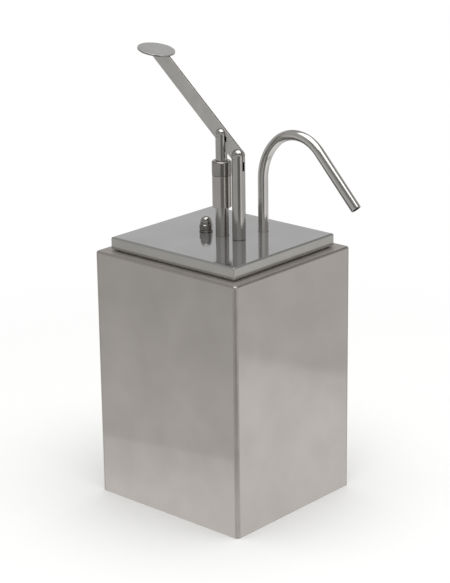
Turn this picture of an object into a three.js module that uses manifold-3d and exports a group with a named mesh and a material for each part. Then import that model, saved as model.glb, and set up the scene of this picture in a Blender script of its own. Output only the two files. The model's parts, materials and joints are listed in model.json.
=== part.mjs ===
// Counter-top sauce dispenser with a lever pump.
// Millimetres, +Z up, front towards -Y, origin under the middle of the housing.

import * as THREE from "three";
import { mergeVertices } from "three/addons/utils/BufferGeometryUtils.js";
import Module from "manifold-3d";

const wasm = await Module();
wasm.setup();

// Shared by all pieces
const seatGap = 0.3; // between pieces that lie on or in each other
const overrun = 2; // how far a cutter runs past what it cuts
const weldDistance = 0.0005; // corners closer than this are one corner
const sharpRadius = 0.2; // smallest corner radius of a folded sheet

// How finely round shapes are divided
const fineSides = 28;
const plainSides = 20;
const pinSides = 12;
const plateSides = 42;
const ballSides = 16;
const ballRings = 8;
const bendSteps = 3;
const domeSteps = 6;
const drawnCornerSteps = 5;
const holeSegments = 7;
const springSteps = 8; // in a turn
const wireSides = 5;
const spoutSteps = 40;
const spoutCurveSegments = 6;
const trackSamples = 24;

// Housing
const housingWidth = 189;
const housingDepth = 203;
const housingHeight = 282;
const shellSheet = 1.2;
const shellBend = 2.5;
const baseSheet = 1.2;
const baseUpstand = 14;
const baseBend = 2;

// Lid
const rimShow = 12.5; // rim that shows between the wall and the lid
const lidSheet = 1.2;
const lidSkirt = 13;
const lidLift = 2; // from the rim to the lower edge of the skirt
const lidBend = 1.5;

// Collar round the opening of the housing
const collarInset = 4; // from the lid's outer face
const collarSheet = 1.2;
const collarDrop = 12; // below the rim
const collarBend = 2;

// Container
const flangePlay = 0.8; // between the flange and the lid's skirt
const containerPlay = 4; // between the collar and the container
const containerSheet = 1;
const containerTaper = 6;
const containerCorner = 20;
const containerFloorBend = 9;
const containerFloorGap = 28; // above the base plate

// Pump bridge under the lid, with its two fastenings
const bridgeSheet = 3;
const bridgeWidth = 34;
const studSpacing = 24; // pump axis to post, and pump axis to stud
const bridgeMargin = 13; // beyond the studs
const studRadius = 4;
const washerThickness = 1.6;
const washerRadius = 7.4;
const nutAcrossFlats = 13;
const nutHeight = 6.5;
const studProud = 2; // below the nut
const acornHeight = 15;
const acornRadius = 6.2;
const acornBore = 10.5;

// Fulcrum post
const postRadius = 7.25;
const pivotHeight = 91.5; // above the lid
const postHeadRise = 8.3; // from the pivot to the top of the dome
const postSlotDrop = 14.9; // from the pivot to the bottom of the slot
const pivotPinRadius = 2.5;

// Lever
const leverAngle = THREE.MathUtils.degToRad(40.66); // above level, at rest
const pressAngle = THREE.MathUtils.degToRad(47);
const bladeThickness = 2.5;
const bladeWidth = 17.4;
const plateReach = 154.2; // from the pivot to the middle of the press plate
const plateRadius = 20.7;
const plateThickness = 1.8;
const plateTilt = THREE.MathUtils.degToRad(11.2); // above level, at rest
const plateEdge = 0.4;
const noseSetback = 6; // from the edge of the press plate to the blade's end

// Plunger
const rodHeadRadius = 6.3;
const rodStemRadius = 4;
const rodHeadRise = 6.8; // from the rod pin to the top of the dome
const rodSlotDrop = 17.8; // from the rod pin to the bottom of the slot
const rodPinRadius = 2;
const capDrop = 28.5; // from the rod pin to the cap
const capRadius = 10.6;
const capHeight = 15.8;
const capEdge = 2;
const capSpigot = 4;
const sleeveRadius = 10.4;
const sleeveWall = 0.8;
const sleeveLength = 35.1;

// Neck tube, guide bush and return spring
const neckRadius = 7.3;
const neckWall = 0.9;
const neckLap = 5; // inside the sleeve at rest
const bushRise = 2; // above the lid
const bushLength = 16;
const springWire = 1.1;
const springTurns = 12;

// Pump cylinder
const pumpFloorGap = 6; // above the container's floor
const cylinderRadius = 18;
const cylinderWall = 1.5;
const headFlange = 4;
const headSpigot = 6;
const headBossRadius = 9.5;
const headSocket = 10;
const ventRadius = 1.5;
const pistonHeight = 14;
const pistonClearance = 1.5; // to the head at rest, and to the port when pressed
const pistonBore = 3; // radius of the rod's end in the piston
const sealThickness = 2.4;
const sealDepth = 2.2;
const pistonNutFlats = 10;
const pistonNutHeight = 5;

// Suction valve
const footFlange = 5;
const inletRadius = 6;
const inletBallRadius = 7;
const inletBallLift = 4;
const inletPinRadius = 1.2;
const inletFlow = 1.6; // round the ball
const valveTopLand = 2.4; // above the pins

// Delivery valve and riser
const spoutAside = 40; // from the pump axis
const armRadius = 6;
const armWall = 1;
const portMargin = 1.5;
const valveBodyRadius = 10;
const valveFloor = 2.5;
const outletMouthRadius = 3.6;
const outletMouthDepth = 2;
const outletBallRadius = 4.5;
const outletBallLift = 3;
const outletPinRadius = 0.8;
const riserSocket = 10;

// Spout and its coupling under the lid
const spoutRadius = 5.65;
const spoutWall = 1;
const spoutRise = 59.2; // straight part above the lid
const entryBend = 59.2; // wide bend that leads into the top bend
const entryTurn = THREE.MathUtils.degToRad(48);
const topBend = 41.4;
const topTurn = THREE.MathUtils.degToRad(88.9);
const spoutOutlet = 73.4; // straight part after the bends
const couplingDrop = 12; // from the lid's top to the coupling
const couplingLength = 22;
const couplingRadius = 9;
const couplingSocket = 8;
const couplingShoulder = 4.85; // bore radius between the two sockets
const sealRingRadius = 7.5;
const sealRingHeight = 2.6;
const unionFlats = 22;
const unionWeb = 2.5;
const unionGrip = 9; // over the coupling

// Heights of the housing, from the ground
const lidTop = housingHeight + lidLift + lidSkirt;
const flangeTop = lidTop - lidSheet - seatGap;
const collarTop = flangeTop - containerSheet - seatGap;
const containerLow = baseSheet + containerFloorGap;
const lidHalfWidth = housingWidth / 2 - rimShow;
const lidHalfDepth = housingDepth / 2 - rimShow;

// Heights of the plunger, from the lid's top
const rodPinHeight = pivotHeight + studSpacing * Math.tan(leverAngle);
const capTop = rodPinHeight - capDrop;
const capLow = capTop - capHeight;
const sleeveLow = capLow - seatGap - sleeveLength;
const neckTop = sleeveLow + neckLap;
const neckBore = neckRadius - neckWall;
const bridgeTop = -lidSheet - seatGap;
const bridgeLow = bridgeTop - bridgeSheet;
const stroke = studSpacing * (Math.tan(leverAngle) - Math.tan(leverAngle - pressAngle));

// Heights of the pump, from the lid's top
const footLow = containerLow + containerSheet + pumpFloorGap - lidTop;
const seatHeight = footLow + footFlange;
const ballSeatRise = Math.sqrt(inletBallRadius ** 2 - inletRadius ** 2);
const inletBallHeight = seatHeight + ballSeatRise + seatGap;
const inletPinHeight = inletBallHeight + inletBallRadius + inletBallLift + seatGap + inletPinRadius;
const footTop = inletPinHeight + inletPinRadius + valveTopLand;
const portBore = armRadius - armWall;
const portHeight = footTop + portMargin + portBore;
const pistonLow = portHeight + portBore + pistonClearance + stroke;
const pistonTop = pistonLow + pistonHeight;
const pistonLand = (pistonHeight - sealThickness * 2) / 3;
const lowerGroove = pistonLow + pistonLand;
const upperGroove = pistonTop - pistonLand - sealThickness;
const headLow = pistonTop + pistonClearance;
const headSeat = headLow + headSpigot;
const headTop = headSeat + headFlange + headSocket;
const neckLow = headSeat + headFlange + seatGap;
const cylinderBore = cylinderRadius - cylinderWall;

// Heights of the delivery valve and the coupling, from the lid's top
const outletSeat = portHeight + portBore + outletMouthDepth;
const outletRise = Math.sqrt(outletBallRadius ** 2 - outletMouthRadius ** 2);
const outletBallHeight = outletSeat + outletRise + seatGap;
const outletPinHeight = outletBallHeight + outletBallRadius + outletBallLift + seatGap + outletPinRadius;
const riserLow = outletPinHeight + outletPinRadius + seatGap;
const couplingTop = -couplingDrop;
const couplingLow = couplingTop - couplingLength;
const riserTop = couplingLow + couplingSocket;
const spoutLow = couplingTop - sealRingHeight - couplingSocket;

// A closed surface as a solid that can be joined and cut.
function solidFrom(geometry) {
  const bare = new THREE.BufferGeometry();
  bare.setAttribute("position", geometry.getAttribute("position"));
  bare.setIndex(geometry.getIndex());
  const merged = mergeVertices(bare, weldDistance);
  const corners = [];
  for (let i = 0; i < merged.index.count; i += 3) {
    const [a, b, c] = [0, 1, 2].map((k) => merged.index.getX(i + k));
    if (a !== b && b !== c && c !== a) corners.push(a, b, c);
  }
  const vertProperties = new Float32Array(merged.getAttribute("position").array);
  const triVerts = new Uint32Array(corners);
  return new wasm.Manifold(new wasm.Mesh({ numProp: 3, vertProperties, triVerts }));
}

// Turned about Z: [radius, height] pairs, up the outside and down the inside.
function turned(outline, sides = plainSides) {
  const points = outline.map(([radius, height]) => new THREE.Vector2(radius, height));
  points.push(points[0].clone());
  const geometry = new THREE.LatheGeometry(points, sides);
  geometry.rotateX(Math.PI / 2);
  return solidFrom(geometry);
}

// An upright round bar.
function bar(radius, low, high, sides = plainSides) {
  return turned([[0, low], [radius, low], [radius, high], [0, high]], sides);
}

// An upright round tube.
function tube(outer, inner, low, high, sides = plainSides) {
  return turned([[inner, low], [outer, low], [outer, high], [inner, high]], sides);
}

// A level round bar along X, centred on the pump's middle plane.
function crossBar(radius, halfLength, y, z, sides = pinSides) {
  const geometry = new THREE.CylinderGeometry(radius, radius, halfLength + halfLength, sides);
  geometry.rotateZ(Math.PI / 2);
  geometry.translate(0, y, z);
  return solidFrom(geometry);
}

// A rectangular block between two corners.
function block(low, high) {
  const size = high.map((value, i) => value - low[i]);
  const geometry = new THREE.BoxGeometry(...size);
  geometry.translate(...low.map((value, i) => value + size[i] / 2));
  return solidFrom(geometry);
}

// A flat outline in XY given a thickness upwards from a height.
function sheetOf(shape, low, thickness) {
  const geometry = new THREE.ExtrudeGeometry(shape, {
    depth: thickness,
    bevelEnabled: false,
    curveSegments: holeSegments,
  });
  geometry.translate(0, 0, low);
  return solidFrom(geometry);
}

// A hexagonal bar along Z.
function hexBar(acrossFlats, low, high) {
  const radius = acrossFlats / Math.sqrt(3);
  const geometry = new THREE.CylinderGeometry(radius, radius, high - low, 6);
  geometry.rotateX(Math.PI / 2);
  geometry.translate(0, 0, (low + high) / 2);
  return solidFrom(geometry);
}

// Points of a bend in a sheet's outline, from one direction to another.
function bend(inset, height, radius, from, to) {
  const points = [];
  for (let i = 0; i <= bendSteps; i += 1) {
    const angle = from + ((to - from) * i) / bendSteps;
    points.push([inset - radius * Math.cos(angle), height + radius * Math.sin(angle)]);
  }
  return points;
}

// One level ring of a folded box: a rectangle with round corners.
function boxRing(halfWidth, halfDepth, cornerRadius, height, cornerSteps) {
  const ring = [];
  const radius = Math.max(cornerRadius, sharpRadius);
  for (let corner = 0; corner < 4; corner += 1) {
    const signX = corner === 0 || corner === 3 ? 1 : -1;
    const signY = corner < 2 ? 1 : -1;
    for (let i = 0; i <= cornerSteps; i += 1) {
      const angle = ((corner + i / cornerSteps) * Math.PI) / 2;
      const x = signX * (halfWidth - radius) + radius * Math.cos(angle);
      const y = signY * (halfDepth - radius) + radius * Math.sin(angle);
      ring.push(new THREE.Vector3(x, y, height));
    }
  }
  return ring;
}

// A folded or drawn box: [inset, height] pairs, up the outside and down the inside.
// An open outline is closed by a level floor at each end, a closed one runs round.
function foldedBox(halfWidth, halfDepth, cornerRadius, outline, closed, cornerSteps = bendSteps) {
  const rings = outline.map(([inset, height]) =>
    boxRing(halfWidth - inset, halfDepth - inset, cornerRadius - inset, height, cornerSteps),
  );
  const count = rings[0].length;
  const corners = [];
  const last = closed ? rings.length : rings.length - 1;
  for (let r = 0; r < last; r += 1) {
    const here = r * count;
    const next = ((r + 1) % rings.length) * count;
    for (let i = 0; i < count; i += 1) {
      const j = (i + 1) % count;
      corners.push(here + i, here + j, next + j, here + i, next + j, next + i);
    }
  }
  const final = (rings.length - 1) * count;
  for (let i = 1; i < count - 1 && !closed; i += 1) {
    corners.push(0, i + 1, i);
    corners.push(final, final + i, final + i + 1);
  }
  const geometry = new THREE.BufferGeometry().setFromPoints(rings.flat());
  geometry.setIndex(corners);
  return solidFrom(geometry);
}

// Moves a solid to a place in plan.
function movedTo(solid, x, y) {
  return solid.translate([x, y, 0]);
}

// Housing shell: four walls and the rim folded inwards.
function outerShell() {
  const rimEnd = rimShow + collarInset - seatGap;
  const outline = [
    [shellSheet, 0],
    [0, 0],
    ...bend(shellBend, housingHeight - shellBend, shellBend, 0, Math.PI / 2),
    [rimEnd, housingHeight],
    [rimEnd, housingHeight - shellSheet],
    ...bend(shellBend, housingHeight - shellBend, shellBend - shellSheet, Math.PI / 2, 0),
  ];
  return foldedBox(housingWidth / 2, housingDepth / 2, shellBend, outline, true);
}

// Strip welded upright round the opening, on which the container hangs.
function containerCollar() {
  const low = housingHeight - collarDrop;
  const outline = [
    [collarSheet, low],
    [0, low],
    [0, collarTop],
    [collarSheet, collarTop],
  ];
  const halfWidth = lidHalfWidth - collarInset;
  const halfDepth = lidHalfDepth - collarInset;
  return foldedBox(halfWidth, halfDepth, collarBend, outline, true);
}

// Tray inside the lower edge of the housing.
function basePlate() {
  const outline = [
    ...bend(baseBend, baseBend, baseBend, -Math.PI / 2, 0),
    [0, baseUpstand],
    [baseSheet, baseUpstand],
    ...bend(baseBend, baseBend, baseBend - baseSheet, 0, -Math.PI / 2),
  ];
  const inset = shellSheet + seatGap;
  const halfWidth = housingWidth / 2 - inset;
  const halfDepth = housingDepth / 2 - inset;
  return foldedBox(halfWidth, halfDepth, shellBend - inset, outline, false);
}

// Deep drawn pan that hangs by its flange.
function sauceContainer() {
  const flangeInset = lidSheet + flangePlay;
  const flangeWidth = collarInset + collarSheet + containerPlay - flangeInset;
  const wallFoot = flangeWidth + containerTaper;
  const bendLow = containerLow + containerFloorBend;
  const floorCentre = wallFoot + containerFloorBend;
  const innerBend = containerFloorBend - containerSheet;
  const outline = [
    ...bend(floorCentre, bendLow, containerFloorBend, -Math.PI / 2, 0),
    [flangeWidth, flangeTop - containerSheet],
    [0, flangeTop - containerSheet],
    [0, flangeTop],
    [flangeWidth + containerSheet, flangeTop],
    ...bend(floorCentre, bendLow, innerBend, 0, -Math.PI / 2),
  ];
  const halfWidth = lidHalfWidth - flangeInset;
  const halfDepth = lidHalfDepth - flangeInset;
  return foldedBox(halfWidth, halfDepth, containerCorner + flangeWidth, outline, false, drawnCornerSteps);
}

// Lid with folded skirt, and the holes for neck tube, studs and spout.
function lid() {
  const outline = [
    ...bend(lidBend, -lidBend, lidBend - lidSheet, Math.PI / 2, 0),
    [lidSheet, -lidSkirt],
    [0, -lidSkirt],
    ...bend(lidBend, -lidBend, lidBend, 0, Math.PI / 2),
  ];
  const holes = [
    [0, 0, neckRadius],
    [0, studSpacing, studRadius],
    [0, -studSpacing, studRadius],
    [spoutAside, -studSpacing, spoutRadius],
  ];
  let cover = foldedBox(lidHalfWidth, lidHalfDepth, lidBend, outline, false);
  for (const [x, y, radius] of holes) {
    const drill = bar(radius + seatGap, -lidSheet - overrun, overrun);
    cover = cover.subtract(movedTo(drill, x, y));
  }
  return cover;
}

// Plate with round ends under the lid.
function pumpBridge() {
  const straight = studSpacing + bridgeMargin - bridgeWidth / 2;
  const shape = new THREE.Shape();
  shape.absarc(0, straight, bridgeWidth / 2, 0, Math.PI);
  shape.absarc(0, -straight, bridgeWidth / 2, Math.PI, Math.PI * 2);
  let plate = sheetOf(shape, bridgeLow, bridgeSheet);
  for (const [y, radius] of [[0, neckRadius], [studSpacing, studRadius], [-studSpacing, studRadius]]) {
    const drill = bar(radius + seatGap, bridgeLow - overrun, bridgeTop + overrun);
    plate = plate.subtract(movedTo(drill, 0, y));
  }
  return plate;
}

// Threaded stud of the acorn nut.
function bridgeStud() {
  const grip = washerThickness + seatGap + seatGap;
  return bar(studRadius, bridgeLow, grip + acornBore - seatGap);
}

// Plain washer, its lower face at a height.
function washer(low) {
  return tube(washerRadius, studRadius + seatGap, low, low + washerThickness);
}

// Hexagon nut with turned chamfers, its lower face at a height; blank without a bore radius.
function hexNut(acrossFlats, height, boreRadius, low) {
  const high = low + height;
  const corner = acrossFlats / Math.sqrt(3);
  const flat = acrossFlats / 2;
  const chamfer = corner - flat;
  const blank = [
    [0, low],
    [flat, low],
    [corner, low + chamfer],
    [corner, high - chamfer],
    [flat, high],
    [0, high],
  ];
  const nut = hexBar(acrossFlats, low, high).intersect(turned(blank));
  return boreRadius ? nut.subtract(bar(boreRadius, low - overrun, high + overrun)) : nut;
}

// Domed cap nut over the bridge stud.
function acornNut() {
  const low = seatGap + washerThickness + seatGap;
  const hex = hexNut(nutAcrossFlats, nutHeight, 0, low);
  const dome = turned(domedBar(acornRadius, low + nutHeight / 2, low + acornHeight - acornRadius));
  return hex.add(dome).subtract(bar(studRadius + seatGap, low - overrun, low + acornBore));
}

// Outline of an upright bar with a hemispherical top.
function domedBar(radius, low, domeStart) {
  const outline = [[0, low], [radius, low]];
  for (let i = 0; i < domeSteps; i += 1) {
    const angle = (i / domeSteps) * (Math.PI / 2);
    outline.push([radius * Math.cos(angle), domeStart + radius * Math.sin(angle)]);
  }
  outline.push([0, domeStart + radius]);
  return outline;
}

// Cutter for the blade's slot in a domed head.
function bladeSlot(headRadius, low, top) {
  const half = bladeThickness / 2 + seatGap;
  const reach = headRadius + overrun;
  return block([-half, -reach, low], [half, reach, top + overrun]);
}

// Slotted post on the lid with its threaded foot.
function fulcrumPost() {
  const studLow = bridgeLow - washerThickness - nutHeight - seatGap - seatGap - studProud;
  const top = pivotHeight + postHeadRise;
  const shank = turned(domedBar(postRadius, seatGap, top - postRadius), fineSides);
  const foot = bar(studRadius, studLow, overrun);
  const bore = crossBar(pivotPinRadius + seatGap, postRadius + overrun, 0, pivotHeight);
  return shank
    .add(foot)
    .subtract(bladeSlot(postRadius, pivotHeight - postSlotDrop, top))
    .subtract(bore);
}

// Tube from the cylinder head up through bridge and lid.
function neckTube() {
  return tube(neckRadius, neckBore, neckLow, neckTop, fineSides);
}

// Plastic bush in the neck tube: guides the rod and carries the spring.
function guideBush() {
  return tube(neckBore - seatGap, rodStemRadius + seatGap, bushRise - bushLength, bushRise);
}

// Section of a round tube.
function ringShape(outer, inner) {
  const shape = new THREE.Shape();
  shape.absarc(0, 0, outer, 0, Math.PI * 2);
  const hole = new THREE.Path();
  hole.absarc(0, 0, inner, 0, Math.PI * 2);
  shape.holes.push(hole);
  return shape;
}

// Centre line of the return spring.
class SpringLine extends THREE.Curve {
  constructor(radius, low, high, turns) {
    super();
    Object.assign(this, { radius, low, high, turns });
  }

  getPoint(t, target = new THREE.Vector3()) {
    const angle = t * this.turns * Math.PI * 2;
    const x = this.radius * Math.cos(angle);
    const y = this.radius * Math.sin(angle);
    return target.set(x, y, this.low + (this.high - this.low) * t);
  }
}

// Round wire wound between the bush and the cap.
function returnSpring() {
  const radius = (rodStemRadius + neckBore) / 2;
  const low = bushRise + seatGap + springWire / 2;
  const high = capLow - capSpigot - seatGap - springWire / 2;
  const line = new SpringLine(radius, low, high, springTurns);
  const points = line.getPoints(springTurns * springSteps);
  const gaps = points.slice(springSteps).map((point, i) => point.distanceTo(points[i]) - springWire);
  console.log("return spring, least gap between turns:", Math.min(...gaps).toFixed(2));
  const wire = new THREE.Shape();
  for (let i = 0; i < wireSides; i += 1) {
    const angle = (i / wireSides) * Math.PI * 2;
    const corner = [(springWire / 2) * Math.cos(angle), (springWire / 2) * Math.sin(angle)];
    if (i) wire.lineTo(...corner);
    else wire.moveTo(...corner);
  }
  const geometry = new THREE.ExtrudeGeometry(wire, {
    steps: springTurns * springSteps,
    extrudePath: line,
    bevelEnabled: false,
  });
  return solidFrom(geometry);
}

// Stepped rod with the slotted head above and the piston end below.
function plungerRod() {
  const shoulder = capLow - capSpigot;
  const top = rodPinHeight + rodHeadRise;
  const head = turned(domedBar(rodHeadRadius, shoulder, top - rodHeadRadius), fineSides);
  const stem = bar(rodStemRadius, pistonTop + seatGap, shoulder + overrun);
  const end = bar(pistonBore, pistonLow - pistonNutHeight - seatGap, pistonTop + overrun);
  const bore = crossBar(rodPinRadius + seatGap, rodHeadRadius + overrun, 0, rodPinHeight);
  return head
    .add(stem)
    .add(end)
    .subtract(bladeSlot(rodHeadRadius, rodPinHeight - rodSlotDrop, top))
    .subtract(bore);
}

// Turned cap fixed on the rod, with a spigot inside the sleeve.
function sleeveCap() {
  const bore = rodHeadRadius + seatGap;
  const spigot = sleeveRadius - sleeveWall - seatGap;
  const outline = [
    [bore, capLow - capSpigot],
    [spigot, capLow - capSpigot],
    [spigot, capLow],
    [capRadius, capLow],
  ];
  for (let i = 0; i <= bendSteps; i += 1) {
    const angle = (i / bendSteps) * (Math.PI / 2);
    outline.push([
      capRadius - capEdge + capEdge * Math.cos(angle),
      capTop - capEdge + capEdge * Math.sin(angle),
    ]);
  }
  outline.push([bore, capTop]);
  return turned(outline, fineSides);
}

// Sleeve that slides over the neck tube.
function springSleeve() {
  return tube(sleeveRadius, sleeveRadius - sleeveWall, sleeveLow, capLow - seatGap, fineSides);
}

// Where the rod pin runs in the blade, as the lever is pressed and the plunger follows at an even rate.
function pinTrack() {
  const along = [];
  const across = [];
  for (let i = 0; i <= trackSamples; i += 1) {
    const share = i / trackSamples;
    const angle = leverAngle - share * pressAngle;
    const rise = studSpacing * Math.tan(leverAngle) - share * stroke;
    along.push(studSpacing * Math.cos(angle) + rise * Math.sin(angle));
    across.push(rise * Math.cos(angle) - studSpacing * Math.sin(angle));
  }
  return {
    near: Math.min(...along),
    far: Math.max(...along),
    low: Math.min(...across),
    high: Math.max(...across),
  };
}

// Where the blade's end meets the underside of the press plate, in the blade's own axes.
function noseLine() {
  const slope = leverAngle - plateTilt;
  const along = new THREE.Vector2(Math.cos(slope), -Math.sin(slope));
  const normal = new THREE.Vector2(Math.sin(slope), Math.cos(slope));
  const drop = plateThickness / 2 + seatGap;
  const middle = new THREE.Vector2(plateReach, 0).addScaledVector(normal, -drop);
  const halfWidth = bladeWidth / 2;
  const topShare = (halfWidth - middle.y) / along.y;
  const lowShare = (-halfWidth - middle.y) / along.y;
  const end = Math.min(plateRadius - noseSetback, lowShare);
  const top = middle.clone().addScaledVector(along, topShare);
  const tip = middle.clone().addScaledVector(along, end);
  const heel = tip.clone().addScaledVector(normal, -(tip.y + halfWidth) / normal.y);
  return { top, tip, heel };
}

// Flat bar on edge: round heel, pin hole, long hole for the rod pin, slanted end.
function leverBlade() {
  const half = bladeWidth / 2;
  const { top, tip, heel } = noseLine();
  const outline = new THREE.Shape();
  outline.absarc(0, 0, half, Math.PI / 2, (Math.PI * 3) / 2);
  outline.lineTo(heel.x, heel.y);
  outline.lineTo(tip.x, tip.y);
  outline.lineTo(top.x, top.y);
  const pinHole = new THREE.Path();
  pinHole.absarc(0, 0, pivotPinRadius + seatGap, 0, Math.PI * 2);
  const track = pinTrack();
  const radius = rodPinRadius + seatGap + (track.high - track.low) / 2;
  const middle = (track.high + track.low) / 2;
  const longHole = new THREE.Path();
  longHole.absarc(track.far, middle, radius, -Math.PI / 2, Math.PI / 2);
  longHole.absarc(track.near, middle, radius, Math.PI / 2, (Math.PI * 3) / 2);
  outline.holes.push(pinHole, longHole);
  const blade = sheetOf(outline, -bladeThickness / 2, bladeThickness);
  return blade.rotate([90, 0, 90]);
}

// Round press plate, in its own axes.
function pressPlate() {
  const half = plateThickness / 2;
  const outline = [
    [0, -half],
    [plateRadius - plateEdge, -half],
    [plateRadius, plateEdge - half],
    [plateRadius, half - plateEdge],
    [plateRadius - plateEdge, half],
    [0, half],
  ];
  return turned(outline, plateSides);
}

// Cylinder barrel with the side port.
function pumpCylinder() {
  const barrel = tube(cylinderRadius, cylinderBore, seatHeight + seatGap, headSeat - seatGap, fineSides);
  return barrel.subtract(armBar(portBore, 0, cylinderRadius + overrun));
}

// Level round bar from the pump axis towards the riser.
function armBar(radius, start, end) {
  const geometry = new THREE.CylinderGeometry(radius, radius, end - start, plainSides);
  geometry.rotateZ(Math.PI / 2);
  geometry.translate((start + end) / 2, 0, 0);
  geometry.rotateZ(Math.atan2(-studSpacing, spoutAside));
  geometry.translate(0, 0, portHeight);
  return solidFrom(geometry);
}

// Head that closes the cylinder and takes the neck tube in its boss.
function cylinderHead() {
  const socket = neckRadius + seatGap;
  const outline = [
    [rodStemRadius + seatGap, headLow],
    [cylinderBore - seatGap, headLow],
    [cylinderBore - seatGap, headSeat],
    [cylinderRadius, headSeat],
    [cylinderRadius, headSeat + headFlange],
    [headBossRadius, headSeat + headFlange],
    [headBossRadius, headTop],
    [socket, headTop],
    [socket, headSeat + headFlange],
    [rodStemRadius + seatGap, headSeat + headFlange],
  ];
  const vent = bar(ventRadius, headLow - overrun, headTop + overrun);
  const ventPlace = (headBossRadius + cylinderBore) / 2;
  return turned(outline, fineSides).subtract(movedTo(vent, 0, ventPlace));
}

// Piston with two grooves for its seals.
function piston() {
  const radius = cylinderBore - seatGap;
  const groove = radius - sealDepth;
  const bore = pistonBore + seatGap;
  const outline = [[bore, pistonLow], [radius, pistonLow]];
  for (const low of [lowerGroove, upperGroove]) {
    const high = low + sealThickness;
    outline.push([radius, low], [groove, low], [groove, high], [radius, high]);
  }
  outline.push([radius, pistonTop], [bore, pistonTop]);
  return turned(outline);
}

// Seal ring in a groove of the piston, its groove's floor at a height.
function pistonSeal(grooveLow) {
  const radius = cylinderBore - seatGap;
  const inner = radius - sealDepth + seatGap;
  return tube(radius, inner, grooveLow + seatGap, grooveLow + sealThickness - seatGap);
}

// Plug in the lower end of the cylinder: inlet, ball seat and ball chamber.
function footValve() {
  const chamber = inletBallRadius + inletFlow;
  const body = turned(
    [
      [inletRadius, footLow],
      [cylinderRadius, footLow],
      [cylinderRadius, seatHeight],
      [cylinderBore - seatGap, seatHeight],
      [cylinderBore - seatGap, footTop],
      [chamber, footTop],
      [chamber, seatHeight + chamber - inletRadius],
      [inletRadius, seatHeight],
    ],
    fineSides,
  );
  return body.subtract(crossBar(inletPinRadius + seatGap, cylinderBore, 0, inletPinHeight));
}

// Valve ball.
function ball(radius) {
  return solidFrom(new THREE.SphereGeometry(radius, ballSides, ballRings));
}

// Side tube from the cylinder to the delivery valve.
function outletArm() {
  const reach = Math.hypot(spoutAside, studSpacing);
  const end = reach - valveBodyRadius + armWall;
  const arm = armBar(armRadius, 0, end);
  const bore = armBar(portBore, -overrun, end + overrun);
  const armLow = portHeight - armRadius;
  const armHigh = portHeight + armRadius;
  const clear = bar(cylinderRadius + seatGap, armLow - overrun, armHigh + overrun, fineSides);
  return arm.subtract(bore).subtract(clear);
}

// Body of the delivery valve below the riser.
function outletValveBody() {
  const bore = spoutRadius + seatGap;
  const low = portHeight - portBore - valveFloor;
  const body = turned([
    [0, low],
    [valveBodyRadius, low],
    [valveBodyRadius, riserLow + riserSocket],
    [bore, riserLow + riserSocket],
    [bore, outletSeat],
    [outletMouthRadius, outletSeat],
    [outletMouthRadius, outletSeat - outletMouthDepth],
    [portBore, outletSeat - outletMouthDepth],
    [portBore, portHeight - portBore],
    [0, portHeight - portBore],
  ]);
  const placed = movedTo(body, spoutAside, -studSpacing);
  const reach = Math.hypot(spoutAside, studSpacing);
  const pinHole = crossBar(outletPinRadius + seatGap, valveBodyRadius + overrun, 0, outletPinHeight);
  return placed
    .subtract(armBar(armRadius + seatGap, 0, reach - valveBodyRadius + armWall + seatGap))
    .subtract(armBar(portBore, 0, reach))
    .subtract(movedTo(pinHole, spoutAside, -studSpacing));
}

// Riser between the delivery valve and the coupling.
function riserTube() {
  return tube(spoutRadius, spoutRadius - spoutWall, riserLow, riserTop);
}

// Coupling on the riser: socket below, socket and seal seat above.
function riserCoupling() {
  const socket = spoutRadius + seatGap;
  const seat = sealRingRadius + seatGap;
  return turned([
    [socket, couplingLow],
    [couplingRadius, couplingLow],
    [couplingRadius, couplingTop],
    [seat, couplingTop],
    [seat, couplingTop - sealRingHeight],
    [socket, couplingTop - sealRingHeight],
    [socket, spoutLow - seatGap],
    [couplingShoulder, spoutLow - seatGap],
    [couplingShoulder, riserTop + seatGap],
    [socket, riserTop + seatGap],
  ]);
}

// Seal ring round the spout.
function spoutSealRing() {
  return tube(sealRingRadius, spoutRadius + seatGap, couplingTop - sealRingHeight + seatGap, couplingTop);
}

// Union nut over coupling and seal ring.
function unionNut() {
  const low = couplingTop - unionGrip;
  const inside = couplingTop + seatGap;
  const top = inside + unionWeb;
  const nut = hexNut(unionFlats, top - low, spoutRadius + seatGap, low);
  return nut.subtract(bar(couplingRadius + seatGap, low - overrun, inside));
}

// A bend of the spout in its upright plane, towards the front; the slope is measured from upright.
class SpoutArc extends THREE.Curve {
  constructor(start, slope, radius, turn) {
    super();
    Object.assign(this, { start, slope, radius, turn });
  }

  getPoint(t, target = new THREE.Vector3()) {
    const angle = this.slope + t * this.turn;
    const forward = this.radius * (Math.cos(this.slope) - Math.cos(angle));
    const rise = this.radius * (Math.sin(angle) - Math.sin(this.slope));
    return target.set(0, this.start.y - forward, this.start.z + rise);
  }
}

// Swan-neck tube, square cut at both ends.
function spoutTube() {
  const entry = new SpoutArc(new THREE.Vector3(0, 0, spoutRise), 0, entryBend, entryTurn);
  const crown = new SpoutArc(entry.getPoint(1), entryTurn, topBend, topTurn);
  const end = crown.getPoint(1);
  const slope = entryTurn + topTurn;
  const heading = new THREE.Vector3(0, -Math.sin(slope), Math.cos(slope));
  const path = new THREE.CurvePath();
  path.add(new THREE.LineCurve3(new THREE.Vector3(0, 0, spoutLow), entry.start));
  path.add(entry);
  path.add(crown);
  path.add(new THREE.LineCurve3(end, end.clone().addScaledVector(heading, spoutOutlet)));
  const geometry = new THREE.ExtrudeGeometry(ringShape(spoutRadius, spoutRadius - spoutWall), {
    steps: spoutSteps,
    extrudePath: path,
    bevelEnabled: false,
    curveSegments: spoutCurveSegments,
  });
  return solidFrom(geometry);
}

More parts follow.
